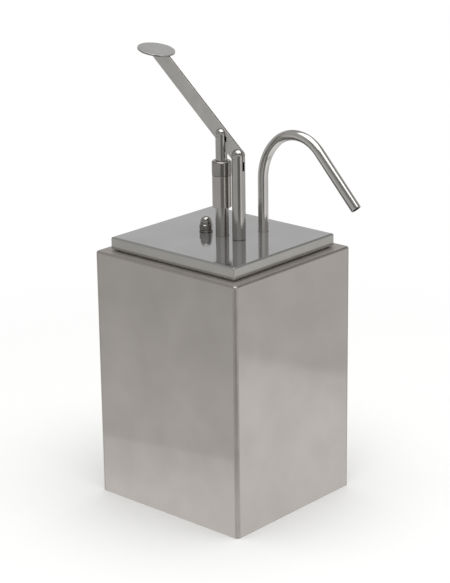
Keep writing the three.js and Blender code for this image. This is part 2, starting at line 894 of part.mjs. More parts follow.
// Finishes
const finishes = {
  brushedSteel: { color: 0xa9a49e, roughness: 0.42, metalness: 1 },
  polishedSteel: { color: 0xb4b2ae, roughness: 0.2, metalness: 1 },
  lidSteel: { color: 0xa8a8a6, roughness: 0.28, metalness: 1 },
  innerSteel: { color: 0xb0afad, roughness: 0.35, metalness: 1 },
  springSteel: { color: 0x8f8d8a, roughness: 0.35, metalness: 1 },
  whitePlastic: { color: 0xe4e2dc, roughness: 0.5, metalness: 0 },
  blackRubber: { color: 0x22211f, roughness: 0.7, metalness: 0 },
};

// A solid as a named mesh in its frame.
function place(frame, name, solid, finish, x = 0, y = 0, z = 0) {
  const { numProp, vertProperties, triVerts } = solid.getMesh();
  const count = vertProperties.length / numProp;
  const positions = new Float32Array(count * 3);
  for (let i = 0; i < count; i += 1) {
    for (let k = 0; k < 3; k += 1) positions[i * 3 + k] = vertProperties[i * numProp + k];
  }
  const geometry = new THREE.BufferGeometry();
  geometry.setAttribute("position", new THREE.BufferAttribute(positions, 3));
  geometry.setIndex(new THREE.BufferAttribute(new Uint32Array(triVerts), 1));
  geometry.computeVertexNormals();
  const material = new THREE.MeshStandardMaterial({ ...finishes[finish], flatShading: true });
  const mesh = new THREE.Mesh(geometry, material);
  mesh.name = name;
  mesh.position.set(x, y, z);
  frame.add(mesh);
  return mesh;
}

// Assembly
const dispenser = new THREE.Group();

const lidFrame = new THREE.Group();
lidFrame.position.z = lidTop;
dispenser.add(lidFrame);

const leverFrame = new THREE.Group();
leverFrame.position.set(0, -studSpacing, pivotHeight);
leverFrame.rotation.x = leverAngle;
lidFrame.add(leverFrame);

place(dispenser, "outer_shell", outerShell(), "brushedSteel");
place(dispenser, "container_collar", containerCollar(), "brushedSteel");
place(dispenser, "base_plate", basePlate(), "brushedSteel");
place(dispenser, "sauce_container", sauceContainer(), "innerSteel");

place(lidFrame, "lid", lid(), "lidSteel");
place(lidFrame, "pump_bridge", pumpBridge(), "innerSteel");
place(lidFrame, "bridge_stud", bridgeStud(), "innerSteel", 0, studSpacing);
place(lidFrame, "acorn_nut_washer", washer(seatGap), "polishedSteel", 0, studSpacing);
place(lidFrame, "acorn_nut", acornNut(), "polishedSteel", 0, studSpacing);

place(lidFrame, "fulcrum_post", fulcrumPost(), "polishedSteel", 0, -studSpacing);
const postWasherLow = bridgeLow - seatGap - washerThickness;
const postNutLow = postWasherLow - seatGap - nutHeight;
const postNut = hexNut(nutAcrossFlats, nutHeight, studRadius + seatGap, postNutLow);
place(lidFrame, "post_nut_washer", washer(postWasherLow), "innerSteel", 0, -studSpacing);
place(lidFrame, "post_nut", postNut, "innerSteel", 0, -studSpacing);

const pivotPin = crossBar(pivotPinRadius, postRadius, 0, 0);
place(lidFrame, "fulcrum_pin", pivotPin, "polishedSteel", 0, -studSpacing, pivotHeight);
place(leverFrame, "lever_blade", leverBlade(), "brushedSteel");
const plate = place(leverFrame, "press_plate", pressPlate(), "polishedSteel", 0, plateReach);
plate.rotation.x = plateTilt - leverAngle;

place(lidFrame, "neck_tube", neckTube(), "polishedSteel");
place(lidFrame, "guide_bush", guideBush(), "whitePlastic");
place(lidFrame, "return_spring", returnSpring(), "springSteel");
place(lidFrame, "plunger_rod", plungerRod(), "polishedSteel");
const rodPin = crossBar(rodPinRadius, rodHeadRadius, 0, 0);
place(lidFrame, "rod_pin", rodPin, "polishedSteel", 0, 0, rodPinHeight);
place(lidFrame, "sleeve_cap", sleeveCap(), "polishedSteel");
place(lidFrame, "spring_sleeve", springSleeve(), "polishedSteel");

const pistonNutLow = pistonLow - seatGap - pistonNutHeight;
const pistonNut = hexNut(pistonNutFlats, pistonNutHeight, pistonBore + seatGap, pistonNutLow);
place(lidFrame, "pump_cylinder", pumpCylinder(), "innerSteel");
place(lidFrame, "cylinder_head", cylinderHead(), "innerSteel");
place(lidFrame, "piston", piston(), "whitePlastic");
place(lidFrame, "piston_seal_lower", pistonSeal(lowerGroove), "blackRubber");
place(lidFrame, "piston_seal_upper", pistonSeal(upperGroove), "blackRubber");
place(lidFrame, "piston_nut", pistonNut, "innerSteel");

const inletPin = crossBar(inletPinRadius, cylinderBore - seatGap - seatGap, 0, 0);
place(lidFrame, "foot_valve", footValve(), "innerSteel");
place(lidFrame, "inlet_ball", ball(inletBallRadius), "polishedSteel", 0, 0, inletBallHeight);
place(lidFrame, "inlet_ball_pin", inletPin, "innerSteel", 0, 0, inletPinHeight);

const spoutPlace = [spoutAside, -studSpacing];
place(lidFrame, "outlet_arm", outletArm(), "innerSteel");
place(lidFrame, "outlet_valve_body", outletValveBody(), "innerSteel");
place(lidFrame, "outlet_ball", ball(outletBallRadius), "polishedSteel", ...spoutPlace, outletBallHeight);
const outletPin = crossBar(outletPinRadius, valveBodyRadius, 0, 0);
place(lidFrame, "outlet_ball_pin", outletPin, "innerSteel", ...spoutPlace, outletPinHeight);
place(lidFrame, "riser_tube", riserTube(), "innerSteel", ...spoutPlace);
place(lidFrame, "riser_coupling", riserCoupling(), "innerSteel", ...spoutPlace);
place(lidFrame, "spout_seal_ring", spoutSealRing(), "blackRubber", ...spoutPlace);
place(lidFrame, "spout_union_nut", unionNut(), "innerSteel", ...spoutPlace);
place(lidFrame, "spout_tube", spoutTube(), "polishedSteel", ...spoutPlace);

export default dispenser;
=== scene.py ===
import json
import math

import bmesh
import bpy
from mathutils import Matrix, Vector

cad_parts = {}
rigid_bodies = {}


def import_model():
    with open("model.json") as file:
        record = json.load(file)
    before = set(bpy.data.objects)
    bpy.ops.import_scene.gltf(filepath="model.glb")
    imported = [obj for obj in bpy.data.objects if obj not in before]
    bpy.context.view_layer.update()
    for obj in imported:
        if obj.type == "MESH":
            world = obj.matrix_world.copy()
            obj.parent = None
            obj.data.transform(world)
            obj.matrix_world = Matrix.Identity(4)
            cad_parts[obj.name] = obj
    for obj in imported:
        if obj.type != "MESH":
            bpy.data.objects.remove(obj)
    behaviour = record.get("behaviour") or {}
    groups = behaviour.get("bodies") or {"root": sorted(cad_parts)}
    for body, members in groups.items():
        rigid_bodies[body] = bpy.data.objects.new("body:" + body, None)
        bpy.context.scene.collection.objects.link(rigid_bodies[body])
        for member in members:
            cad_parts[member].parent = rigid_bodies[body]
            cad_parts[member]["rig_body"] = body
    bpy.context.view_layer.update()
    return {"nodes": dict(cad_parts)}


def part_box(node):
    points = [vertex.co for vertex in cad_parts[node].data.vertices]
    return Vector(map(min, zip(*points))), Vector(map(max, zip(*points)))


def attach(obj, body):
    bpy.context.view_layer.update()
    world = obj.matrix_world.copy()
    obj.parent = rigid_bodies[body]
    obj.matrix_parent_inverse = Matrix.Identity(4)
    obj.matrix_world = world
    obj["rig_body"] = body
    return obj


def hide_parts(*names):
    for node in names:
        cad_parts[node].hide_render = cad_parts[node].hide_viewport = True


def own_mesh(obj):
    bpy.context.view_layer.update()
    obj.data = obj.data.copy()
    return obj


# Counter-top sauce dispenser with a lever pump. Sizes are in millimetres, those of the studio in metres.

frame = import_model()
mm = 0.001
scene = bpy.context.scene
print("frame loaded:", len(frame["nodes"]), "nodes")


# Helpers for meshes

onAxis = 1e-6  # a smaller radius lies on the axis
past = 2  # how far a drill or saw reaches beyond what it cuts
pressGap = 0.3  # between two pieces that are pressed or screwed together


def spanOf(node):
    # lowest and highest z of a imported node
    low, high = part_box(node)
    return low.z / mm, high.z / mm


lidTop = spanOf("lid")[1]


def arcOf(x, y, radius, start, end, steps):
    # points of an arc, angles in degrees
    points = []
    for i in range(steps + 1):
        a = math.radians(start + (end - start) * i / steps)
        points.append((x + radius * math.cos(a), y + radius * math.sin(a)))
    return points


def bendOf(inset, height, radius, start, end, steps=8):
    # (inset, height) points of a bend in a sheet, angles in degrees
    return [(inset - x, height + y) for x, y in arcOf(0, 0, radius, start, end, steps)]


def cutEdge(first, last, inwards, broken=0.2):
    # cut edge of a sheet between two corners, both lightly broken; inwards leads into the sheet
    (ax, ay), (bx, by), (nx, ny) = first, last, inwards
    length = math.hypot(bx - ax, by - ay)
    dx, dy = (bx - ax) / length * broken, (by - ay) / length * broken
    nx, ny = nx * broken, ny * broken
    return [(ax + nx, ay + ny), (ax + dx, ay + dy), (bx - dx, by - dy), (bx + nx, by + ny)]


def barOf(radius, low, high, bore=0):
    # outline of a plain bar or tube for turning
    return [(bore, low), (radius, low), (radius, high), (bore, high)]


def softened(outline, radius, steps=4, mostOfSide=0.45):
    # rounds the corners of a closed outline of (r, z) points; a third number is a corner's own radius,
    # and corners on the axis stay
    points = [Vector(p[:2]) for p in outline]
    result = []
    for i, here in enumerate(points):
        reach = outline[i][2] if len(outline[i]) > 2 else radius
        if reach <= 0 or here.x < onAxis:
            result.append(here)
            continue
        toBefore, toAfter = points[i - 1] - here, points[(i + 1) % len(points)] - here
        reach = min(reach, toBefore.length * mostOfSide, toAfter.length * mostOfSide)
        start = here + toBefore.normalized() * reach
        end = here + toAfter.normalized() * reach
        for k in range(steps + 1):
            t = k / steps
            result.append(start * (1 - t) ** 2 + here * 2 * t * (1 - t) + end * t * t)
    return [(p.x, p.y) for p in result]


def turnedMesh(outline, sides, soft):
    # closed outline of (r, z) points spun round the z axis
    bm = bmesh.new()
    turns = [2 * math.pi * i / sides for i in range(sides)]
    rings = []
    for r, z in softened(outline, soft):
        corners = [(r * math.cos(a), r * math.sin(a), z) for a in turns] if r >= onAxis else [(0, 0, z)]
        rings.append([bm.verts.new(corner) for corner in corners])
    for a, b in zip(rings, rings[1:] + rings[:1]):
        for i in range(sides):
            j = (i + 1) % sides
            face = list(dict.fromkeys([a[i % len(a)], a[j % len(a)], b[j % len(b)], b[i % len(b)]]))
            if len(face) > 2:
                bm.faces.new(face)
    return bm


def plateMesh(outline, low, high):
    # flat (x, y) outline given a thickness along z
    bm = bmesh.new()
    face = bm.faces.new([bm.verts.new((x, y, low)) for x, y in outline])
    raised = bmesh.ops.extrude_face_region(bm, geom=[face])["geom"]
    top = [v for v in raised if isinstance(v, bmesh.types.BMVert)]
    bmesh.ops.translate(bm, verts=top, vec=(0, 0, high - low))
    return bm


def boxMesh(size, corner, outline, closed, cornerSteps=10, sharpest=0.2):
    # folded box round half sizes: (inset, height) points, up the outside and down the inside
    bm = bmesh.new()
    rings = []
    for inset, height in outline:
        radius = max(corner - inset, sharpest)
        x, y = size["halfWidth"] - inset - radius, size["halfDepth"] - inset - radius
        ring = []
        for cx, cy, start in ((x, y, 0), (-x, y, 90), (-x, -y, 180), (x, -y, 270)):
            ring += arcOf(cx, cy, radius, start, start + 90, cornerSteps)
        rings.append([bm.verts.new((px, py, height)) for px, py in ring])
    following = rings[1:] + (rings[:1] if closed else [])
    for a, b in zip(rings, following):
        for i in range(len(a)):
            j = (i + 1) % len(a)
            bm.faces.new((a[i], a[j], b[j], b[i]))
    if not closed:
        bm.faces.new(rings[0])
        bm.faces.new(rings[-1])
    return bm


def newPiece(name, bm, matrix=None, mergeWithin=0.002):
    # mesh in millimetres, made an object at the origin
    if matrix is not None:
        bm.transform(matrix)
    bm.transform(Matrix.Scale(mm, 4))
    bmesh.ops.remove_doubles(bm, verts=bm.verts, dist=mergeWithin * mm)
    bmesh.ops.recalc_face_normals(bm, faces=bm.faces)
    mesh = bpy.data.meshes.new(name)
    bm.to_mesh(mesh)
    bm.free()
    piece = bpy.data.objects.new(name, mesh)
    scene.collection.objects.link(piece)
    return piece


def turned(name, outline, sides, soft, matrix=None):
    return newPiece(name, turnedMesh(outline, sides, soft), matrix)


def settle(piece):
    # turns what the modifiers give into the piece's own mesh
    graph = bpy.context.evaluated_depsgraph_get()
    result = bpy.data.meshes.new_from_object(piece.evaluated_get(graph), depsgraph=graph)
    piece.modifiers.clear()
    old = piece.data
    piece.data = result
    bpy.data.meshes.remove(old)
    piece.data.name = piece.name
    return piece


def carve(piece, tools, operation="DIFFERENCE"):
    # cuts, joins or crosses a piece with other pieces, which are used up
    for tool in tools:
        change = piece.modifiers.new("carve", "BOOLEAN")
        change.operation = operation
        change.solver = "EXACT"
        change.object = tool
    settle(piece)
    for tool in tools:
        bpy.data.objects.remove(tool)
    return piece


def lyingAt(x, y, z):
    # turns a bar's axis from z to x
    return Matrix.Translation((x, y, z)) @ Matrix.Rotation(math.pi / 2, 4, "Y")


def roundBar(radius, low, high, x=0, y=0, sides=48):
    # upright bar, used as a drill
    return turned("drill", barOf(radius, low, high), sides, 0, Matrix.Translation((x, y, 0)))


def crossBar(radius, half, y, z, x=0):
    # level bar along x, used as a drill
    return turned("drill", barOf(radius, -half, half), 48, 0, lyingAt(x, y, z))


def finish(piece, material, body, nodes, edge=0.0, sharp=32):
    # breaks hard edges, shades the piece and hangs it on its body
    if edge:
        bevel = piece.modifiers.new("edge", "BEVEL")
        bevel.width = edge * mm
        bevel.segments = 2
        bevel.limit_method = "ANGLE"
        bevel.angle_limit = math.radians(sharp)
        settle(piece)
    for face in piece.data.polygons:
        face.use_smooth = True
    piece.data.set_sharp_from_angle(angle=math.radians(sharp))
    weight = piece.modifiers.new("weight", "WEIGHTED_NORMAL")
    weight.keep_sharp = True
    settle(piece)
    piece.data.materials.clear()
    piece.data.materials.append(material)
    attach(piece, body)
    if nodes:
        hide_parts(*nodes)
    return piece


def dressRim(piece, material, through, onEdge=0.5):
    # second material on the faces that stand on edge to a plate, along whose thickness through points
    piece.data.materials.append(material)
    for face in piece.data.polygons:
        face.material_index = int(abs(face.normal.dot(through)) < onEdge)


# Helpers for materials

def linear(hexColour):
    # sRGB hex to the linear colour that the shader reads
    parts = [int(hexColour[i:i + 2], 16) / 255 for i in (1, 3, 5)]
    parts = [c / 12.92 if c <= 0.04045 else ((c + 0.055) / 1.055) ** 2.4 for c in parts]
    return (*parts, 1.0)


def addNode(tree, kind, *terms, **named):
    # adds a node: lower-case names are its settings, terms fill its open inputs in order, other names
    # the inputs called so, and a node given as a value stands for its first open output
    node = tree.nodes.new(kind)
    for key in [key for key in named if key.islower()]:
        setattr(node, key, named.pop(key))
    given = list(zip([socket for socket in node.inputs if socket.enabled], terms))
    given += [(node.inputs[key.replace("_", " ")], value) for key, value in named.items()]
    for socket, value in given:
        if isinstance(value, bpy.types.Node):
            value = next(output for output in value.outputs if output.enabled)
        if isinstance(value, bpy.types.NodeSocket):
            tree.links.new(value, socket)
        else:
            socket.default_value = value
    return node


def emptyTree(owner):
    # node tree of a material or a world, cleared of what it starts with
    owner.use_nodes = True
    owner.node_tree.nodes.clear()
    return owner.node_tree


plainSteel = {"metal": 1.0, "stretch": (1.0, 1.0, 1.0), "depth": 0.03}
noiseSpan = (0.3, 0.7)  # most of a noise lies between these levels


def steel(name, look):
    # stainless steel with a soft cloud over the sheet and a fine grain of its own direction
    look = {**plainSteel, **look}
    material = bpy.data.materials.new(name)
    tree = emptyTree(material)
    place = addNode(tree, "ShaderNodeTexCoord").outputs["Object"]
    cloud = addNode(tree, "ShaderNodeTexNoise", Vector=place, Scale=1 / (look["cloud"] * mm), Detail=2.0)
    spread = addNode(tree, "ShaderNodeMapRange", cloud, *noiseSpan)
    colour = addNode(tree, "ShaderNodeMix", spread, linear(look["dark"]), linear(look["light"]),
                     data_type="RGBA")
    along = addNode(tree, "ShaderNodeMapping", Vector=place, Scale=look["stretch"])
    grain = addNode(tree, "ShaderNodeTexNoise", Vector=along, Scale=1 / (look["grain"] * mm), Detail=3.0,
                    Roughness=0.6)
    rough = addNode(tree, "ShaderNodeMapRange", grain, *noiseSpan, *look["roughness"])
    bump = addNode(tree, "ShaderNodeBump", Height=grain, Strength=look["relief"],
                   Distance=look["depth"] * mm)
    shader = addNode(tree, "ShaderNodeBsdfPrincipled", Base_Color=colour, Roughness=rough, Normal=bump,
                     Metallic=look["metal"])
    addNode(tree, "ShaderNodeOutputMaterial", shader)
    return material


def moulded(name, look):
    # plastic or rubber with a faint moulded unevenness
    material = bpy.data.materials.new(name)
    tree = emptyTree(material)
    place = addNode(tree, "ShaderNodeTexCoord").outputs["Object"]
    cloud, grit = [addNode(tree, "ShaderNodeTexNoise", Vector=place, Scale=1 / (look[size] * mm), Detail=2.0)
                   for size in ("cloud", "grain")]
    colour = addNode(tree, "ShaderNodeMix", cloud, linear(look["dark"]), linear(look["light"]),
                     data_type="RGBA")
    bump = addNode(tree, "ShaderNodeBump", Height=grit, Strength=look["relief"],
                   Distance=look["depth"] * mm)
    shader = addNode(tree, "ShaderNodeBsdfPrincipled", Base_Color=colour, Roughness=look["roughness"],
                     Normal=bump, IOR=look["ior"])
    addNode(tree, "ShaderNodeOutputMaterial", shader)
    return material


# Satin sheet, and the lever's narrow faces, brushed with a fine belt: a soft warm grey with blurred
# reflections
satinSheet = steel("satinStainlessSheet", {
    "dark": "#afaaa5", "light": "#b6b1ac", "cloud": 45, "stretch": (1.0, 1.0, 0.25), "grain": 1.2,
    "roughness": (0.08, 0.12), "relief": 0.03,
})
# Folds and rim of the housing, rubbed by hand after bending: duller, a soft band and no mirror image
rubbedFold = steel("rubbedStainlessFold", {
    "dark": "#a59f99", "light": "#aea8a2", "cloud": 30, "metal": 0.8, "stretch": (1.0, 1.0, 0.1),
    "grain": 0.9, "roughness": (0.42, 0.5), "relief": 0.08,
})
# Collar strip, dull: its pale colour is painted light that brightens the shade in the gap under the lid
collarPaintedLight = steel("collarStripPaintedLight", {
    "dark": "#d5d3d0", "light": "#dfddda", "cloud": 20, "metal": 0.6, "grain": 0.6,
    "roughness": (0.4, 0.5), "relief": 0.1,
})
# Bright annealed sheet, as it leaves the rolls: the tubes and the nut show in it as in a mirror
brightSheet = steel("brightAnnealedSheet", {
    "dark": "#a3a3a2", "light": "#ababab", "cloud": 60, "metal": 0.86, "stretch": (1.0, 0.08, 1.0),
    "grain": 2.2, "roughness": (0.07, 0.11), "relief": 0.05, "depth": 0.04,
})
# Skirt of the lid, the same sheet rubbed with a pad after folding: a little paler and warmer
paddedSheet = steel("paddedStainlessSheet", {
    "dark": "#adaba6", "light": "#b4b2ad", "cloud": 40, "metal": 0.9, "stretch": (1.0, 1.0, 0.3),
    "grain": 1.5, "roughness": (0.12, 0.18), "relief": 0.05,
})
# Deep drawn pan: plain mill finish with faint draw lines up its walls
drawnPan = steel("deepDrawnStainless", {
    "dark": "#adaba8", "light": "#b9b7b4", "cloud": 50, "metal": 0.7, "stretch": (1.0, 1.0, 0.05),
    "grain": 2.5, "roughness": (0.24, 0.32), "relief": 0.15, "depth": 0.05,
})
# Drawn tube, polished along its length: clear dark and light bands with a faint lengthwise streak
polishedTube = steel("polishedStainlessTube", {
    "dark": "#aaa6a2", "light": "#b4b1ad", "cloud": 40, "stretch": (1.0, 1.0, 0.04), "grain": 1.0,
    "roughness": (0.13, 0.2), "relief": 0.08,
})
# Spout tube, polished all round after bending: the clearest mirror on the object
polishedSpout = steel("polishedStainlessSpout", {
    "dark": "#c3c1bd", "light": "#cccac6", "cloud": 40, "grain": 3.0, "roughness": (0.11, 0.16),
    "relief": 0.05,
})
# Bar turned on a lathe and polished: fine rings round it that widen the highlights
turnedBar = steel("turnedStainlessBar", {
    "dark": "#a8a5a1", "light": "#b2afac", "cloud": 30, "stretch": (0.05, 0.05, 1.0), "grain": 0.9,
    "roughness": (0.12, 0.2), "relief": 0.1,
})
# Cap, turned: the same bar, duller, and darker as painted shade on its side
capPaintedShade = steel("capBarPaintedShade", {
    "dark": "#93908c", "light": "#9e9b98", "cloud": 14, "stretch": (0.05, 0.05, 1.0), "grain": 0.8,
    "roughness": (0.16, 0.24), "relief": 0.12,
})
# Flat bar, tumbled to a satin: an even grey with a fine sparkle of grain
satinBar = steel("tumbledStainlessBar", {
    "dark": "#bbb9b5", "light": "#c7c5c1", "cloud": 18, "grain": 1.1, "roughness": (0.34, 0.46),
    "relief": 0.3, "depth": 0.08,
})
# Stamped disc, tumbled with the bar: smoother and a little lighter
stampedDisc = steel("stampedStainlessDisc", {
    "dark": "#c0bfbd", "light": "#cac9c7", "cloud": 25, "grain": 1.3, "roughness": (0.32, 0.42),
    "relief": 0.15, "depth": 0.05,
})
# Cut edge of the disc: darker as painted shade, with a narrow gleam
discEdgePaintedShade = steel("discEdgeSteelPaintedShade", {
    "dark": "#807e7b", "light": "#8d8b88", "cloud": 8, "grain": 0.8, "roughness": (0.16, 0.24),
    "relief": 0.1,
})
# Hexagon bar and plain washers: bright rolled, darker than the polished pieces as painted shade for the dark
# reflections in the nuts' facets
rolledBarPaintedDark = steel("rolledBarPaintedShade", {
    "dark": "#94918d", "light": "#a29f9b", "cloud": 12, "grain": 1.2, "roughness": (0.1, 0.2),
    "relief": 0.1,
})
# Hard drawn spring wire: darker, with the drawing die's sheen
springWire = steel("hardDrawnSpringWire", {
    "dark": "#86847f", "light": "#94928e", "cloud": 8, "grain": 0.8, "roughness": (0.24, 0.34),
    "relief": 0.1,
})
# Weld run, brushed clean: darker than the sheet, with a dull skin
weldRun = steel("brushedWeldRun", {
    "dark": "#7d7a76", "light": "#8f8c88", "cloud": 4, "grain": 0.7, "roughness": (0.38, 0.52),
    "relief": 0.3, "depth": 0.05,
})
# Acetal, machined: milky white with a dull shine
acetal = moulded("machinedAcetal", {
    "dark": "#dedcd4", "light": "#e8e6df", "cloud": 20, "grain": 0.6, "roughness": 0.42,
    "relief": 0.12, "depth": 0.03, "ior": 1.48,
})
# Nitrile rubber, moulded: black-grey and dull
nitrile = moulded("mouldedNitrileRubber", {
    "dark": "#1d1c1b", "light": "#282725", "cloud": 10, "grain": 0.5, "roughness": 0.62,
    "relief": 0.2, "depth": 0.03, "ior": 1.52,
})
print("materials made:", len(bpy.data.materials))


# Geometry node trees

def treeWith(name, floats, counts):
    # tree with its named inputs and one geometry output, and what its inputs give, by name
    tree = bpy.data.node_groups.new(name, "GeometryNodeTree")
    kinds = [("Geometry", "Geometry"), *[(label, "Float") for label in floats],
             *[(label, "Int") for label in counts], ("Material", "Material")]
    for label, kind in kinds:
        tree.interface.new_socket(label, in_out="INPUT", socket_type="NodeSocket" + kind)
    tree.interface.new_socket("Geometry", in_out="OUTPUT", socket_type="NodeSocketGeometry")
    return tree, {socket.name: socket for socket in addNode(tree, "NodeGroupInput").outputs}


def closeTree(tree, value, geometry):
    # every tree ends in real geometry with its material
    real = addNode(tree, "GeometryNodeRealizeInstances", geometry)
    dressed = addNode(tree, "GeometryNodeSetMaterial", Geometry=real, Material=value["Material"])
    addNode(tree, "NodeGroupOutput", dressed)


def swanNeckTree():
    # tube on a straight rise, a wide and a tighter bend and a straight outlet, on one rule of arc length
    tree, value = treeWith("swanNeck", [
        "Low", "Rise", "Entry Radius", "Top Radius", "Outlet", "Tube Radius", "Entry Turn", "Top Turn",
    ], ["Steps", "Sides"])
    line = addNode(tree, "GeometryNodeMeshLine", Count=value["Steps"])
    value["index"] = addNode(tree, "GeometryNodeInputIndex")
    # each row: name of the result, what is done, and the one or two values that it is done to
    sums = [
        ("last", "SUBTRACT", "Steps", 1.0), ("share", "DIVIDE", "index", "last"),
        ("Entry", "MULTIPLY", "Entry Radius", "Entry Turn"), ("Top", "MULTIPLY", "Top Radius", "Top Turn"),
        ("straight", "ADD", "Rise", "Outlet"), ("withEntry", "ADD", "straight", "Entry"),
        ("total", "ADD", "withEntry", "Top"), ("along", "MULTIPLY", "share", "total"),
        ("over", "SUBTRACT", "along", "Rise"), ("past", "MAXIMUM", "over", 0.0),
        ("climbed", "MINIMUM", "along", "Rise"), ("up", "ADD", "Low", "climbed"),
        ("forward", "ADD", 0.0, 0.0), ("slope", "ADD", 0.0, 0.0),
    ]
    for bend in ("Entry", "Top"):
        radius = bend + " Radius"
        sums += [
            ("inside", "MINIMUM", "past", bend), ("turned", "DIVIDE", "inside", radius),
            ("after", "ADD", "slope", "turned"), ("cosine", "COSINE", "slope"),
            ("cosineAfter", "COSINE", "after"), ("drop", "SUBTRACT", "cosine", "cosineAfter"),
            ("sine", "SINE", "slope"), ("sineAfter", "SINE", "after"),
            ("gain", "SUBTRACT", "sineAfter", "sine"), ("out", "MULTIPLY", "drop", radius),
            ("forward", "ADD", "forward", "out"), ("climbed", "MULTIPLY", "gain", radius),
            ("up", "ADD", "up", "climbed"), ("past", "SUBTRACT", "past", "inside"),
            ("slope", "ADD", "after", 0.0),
        ]
    sums += [
        ("sine", "SINE", "slope"), ("out", "MULTIPLY", "sine", "past"), ("forward", "ADD", "forward", "out"),
        ("cosine", "COSINE", "slope"), ("climbed", "MULTIPLY", "cosine", "past"),
        ("up", "ADD", "up", "climbed"), ("towardsFront", "MULTIPLY", "forward", -1.0),
    ]
    for name, operation, *terms in sums:
        terms = [value.get(term, term) for term in terms]
        value[name] = addNode(tree, "ShaderNodeMath", *terms, operation=operation)
    place = addNode(tree, "ShaderNodeCombineXYZ", Y=value["towardsFront"], Z=value["up"])
    moved = addNode(tree, "GeometryNodeSetPosition", Geometry=line, Position=place)
    path = addNode(tree, "GeometryNodeMeshToCurve", moved)
    section = addNode(tree, "GeometryNodeCurvePrimitiveCircle", Resolution=value["Sides"],
                      Radius=value["Tube Radius"])
    closeTree(tree, value, addNode(tree, "GeometryNodeCurveToMesh", Curve=path, Profile_Curve=section))
    return tree


def coilTree():
    # round wire on a helix: the return spring, and the ridge of a screw thread
    tree, value = treeWith("coil", ["Turns", "Radius", "Height", "Wire Radius"], ["Steps Per Turn", "Sides"])
    helix = addNode(tree, "GeometryNodeCurveSpiral", Resolution=value["Steps Per Turn"],
                    Rotations=value["Turns"], Start_Radius=value["Radius"], End_Radius=value["Radius"],
                    Height=value["Height"])
    section = addNode(tree, "GeometryNodeCurvePrimitiveCircle", Resolution=value["Sides"],
                      Radius=value["Wire Radius"])
    wire = addNode(tree, "GeometryNodeCurveToMesh", Curve=helix, Profile_Curve=section, Fill_Caps=True)
    closeTree(tree, value, wire)
    return tree


def weldTree():
    # flattened drops of weld, one behind the other along the edges that it is given
    tree, value = treeWith("weldRun", ["Spacing", "Drop Radius", "Smallest", "Largest"], ["Seed"])
    path = addNode(tree, "GeometryNodeMeshToCurve", value["Geometry"])
    points = addNode(tree, "GeometryNodeCurveToPoints", mode="LENGTH", Curve=path, Length=value["Spacing"])
    drop = addNode(tree, "GeometryNodeMeshIcoSphere", Radius=value["Drop Radius"], Subdivisions=2)
    size = addNode(tree, "FunctionNodeRandomValue", value["Smallest"], value["Largest"], data_type="FLOAT",
                   Seed=value["Seed"])
    drops = addNode(tree, "GeometryNodeInstanceOnPoints", Points=points, Instance=drop, Scale=size)
    closeTree(tree, value, drops)
    return tree


def grown(name, bm, tree, material, values, matrix=None):
    # piece made by a tree, whose inputs are set by their identifiers
    piece = newPiece(name, bm)
    change = piece.modifiers.new("grow", "NODES")
    change.node_group = tree
    names = {s.name: s.identifier for s in tree.interface.items_tree if s.in_out == "INPUT"}
    for label, value in {**values, "Material": material}.items():
        change[names[label]] = value
    settle(piece)
    if matrix is not None:
        piece.data.transform(matrix)
    return piece


swanNeck = swanNeckTree()
coil = coilTree()
welding = weldTree()
print("node trees made")


# Housing

housing = {
    "halfWidth": 94.5, "halfDepth": 101.5, "height": 282, "sheet": 1.2, "bend": 2.5, "corner": 4.2,
    "rim": 16.2, "broken": 0.1, "foldFrom": 0.05, "flatFrom": 0.98,
}


def housingShell():
    s = housing
    top, bend, sheet = s["height"], s["bend"], s["sheet"]
    outline = cutEdge((sheet, 0), (0, 0), (0, 1), s["broken"])
    outline += bendOf(bend, top - bend, bend, 0, 90)
    outline += cutEdge((s["rim"], top), (s["rim"], top - sheet), (-1, 0), s["broken"])
    outline += bendOf(bend, top - bend, bend - sheet, 90, 0)
    shell = newPiece("housingShell", boxMesh(s, s["corner"], outline, True))
    finish(shell, satinSheet, "housing", ["outer_shell"])
    # the folds and the flat of the rim are rubbed
    shell.data.materials.append(rubbedFold)
    for face in shell.data.polygons:
        onFold = min(abs(face.normal.x), abs(face.normal.y)) > s["foldFrom"]
        face.material_index = int(onFold or face.normal.z > s["flatFrom"])


collar = {"halfWidth": 78, "halfDepth": 85, "sheet": 1.2, "corner": 2.0}


def openingCollar():
    s = collar
    low, high = spanOf("container_collar")
    outline = [(s["sheet"], low), (0, low)] + cutEdge((0, high), (s["sheet"], high), (0, -1))
    piece = newPiece("openingCollar", boxMesh(s, s["corner"], outline, True))
    # the collar's pale colour is painted light in the gap under the lid
    finish(piece, collarPaintedLight, "housing", ["container_collar"])


baseTray = {"halfWidth": 93, "halfDepth": 100, "corner": 1.0, "sheet": 1.2, "bend": 2.0}


def baseTrayPiece():
    s = baseTray
    high = spanOf("base_plate")[1]
    outline = bendOf(s["bend"], s["bend"], s["bend"], -90, 0)
    outline += cutEdge((0, high), (s["sheet"], high), (0, -1))
    outline += bendOf(s["bend"], s["bend"], s["bend"] - s["sheet"], 0, -90)
    piece = newPiece("baseTray", boxMesh(s, s["corner"], outline, False))
    finish(piece, satinSheet, "housing", ["base_plate"])


housingShell()
openingCollar()
baseTrayPiece()
print("housing made")


# Container

pan = {
    "halfWidth": 80, "halfDepth": 87, "flange": 7.2, "taper": 6, "corner": 20, "sheet": 1.0,
    "floorBend": 9, "flangeBend": 2.5,
}


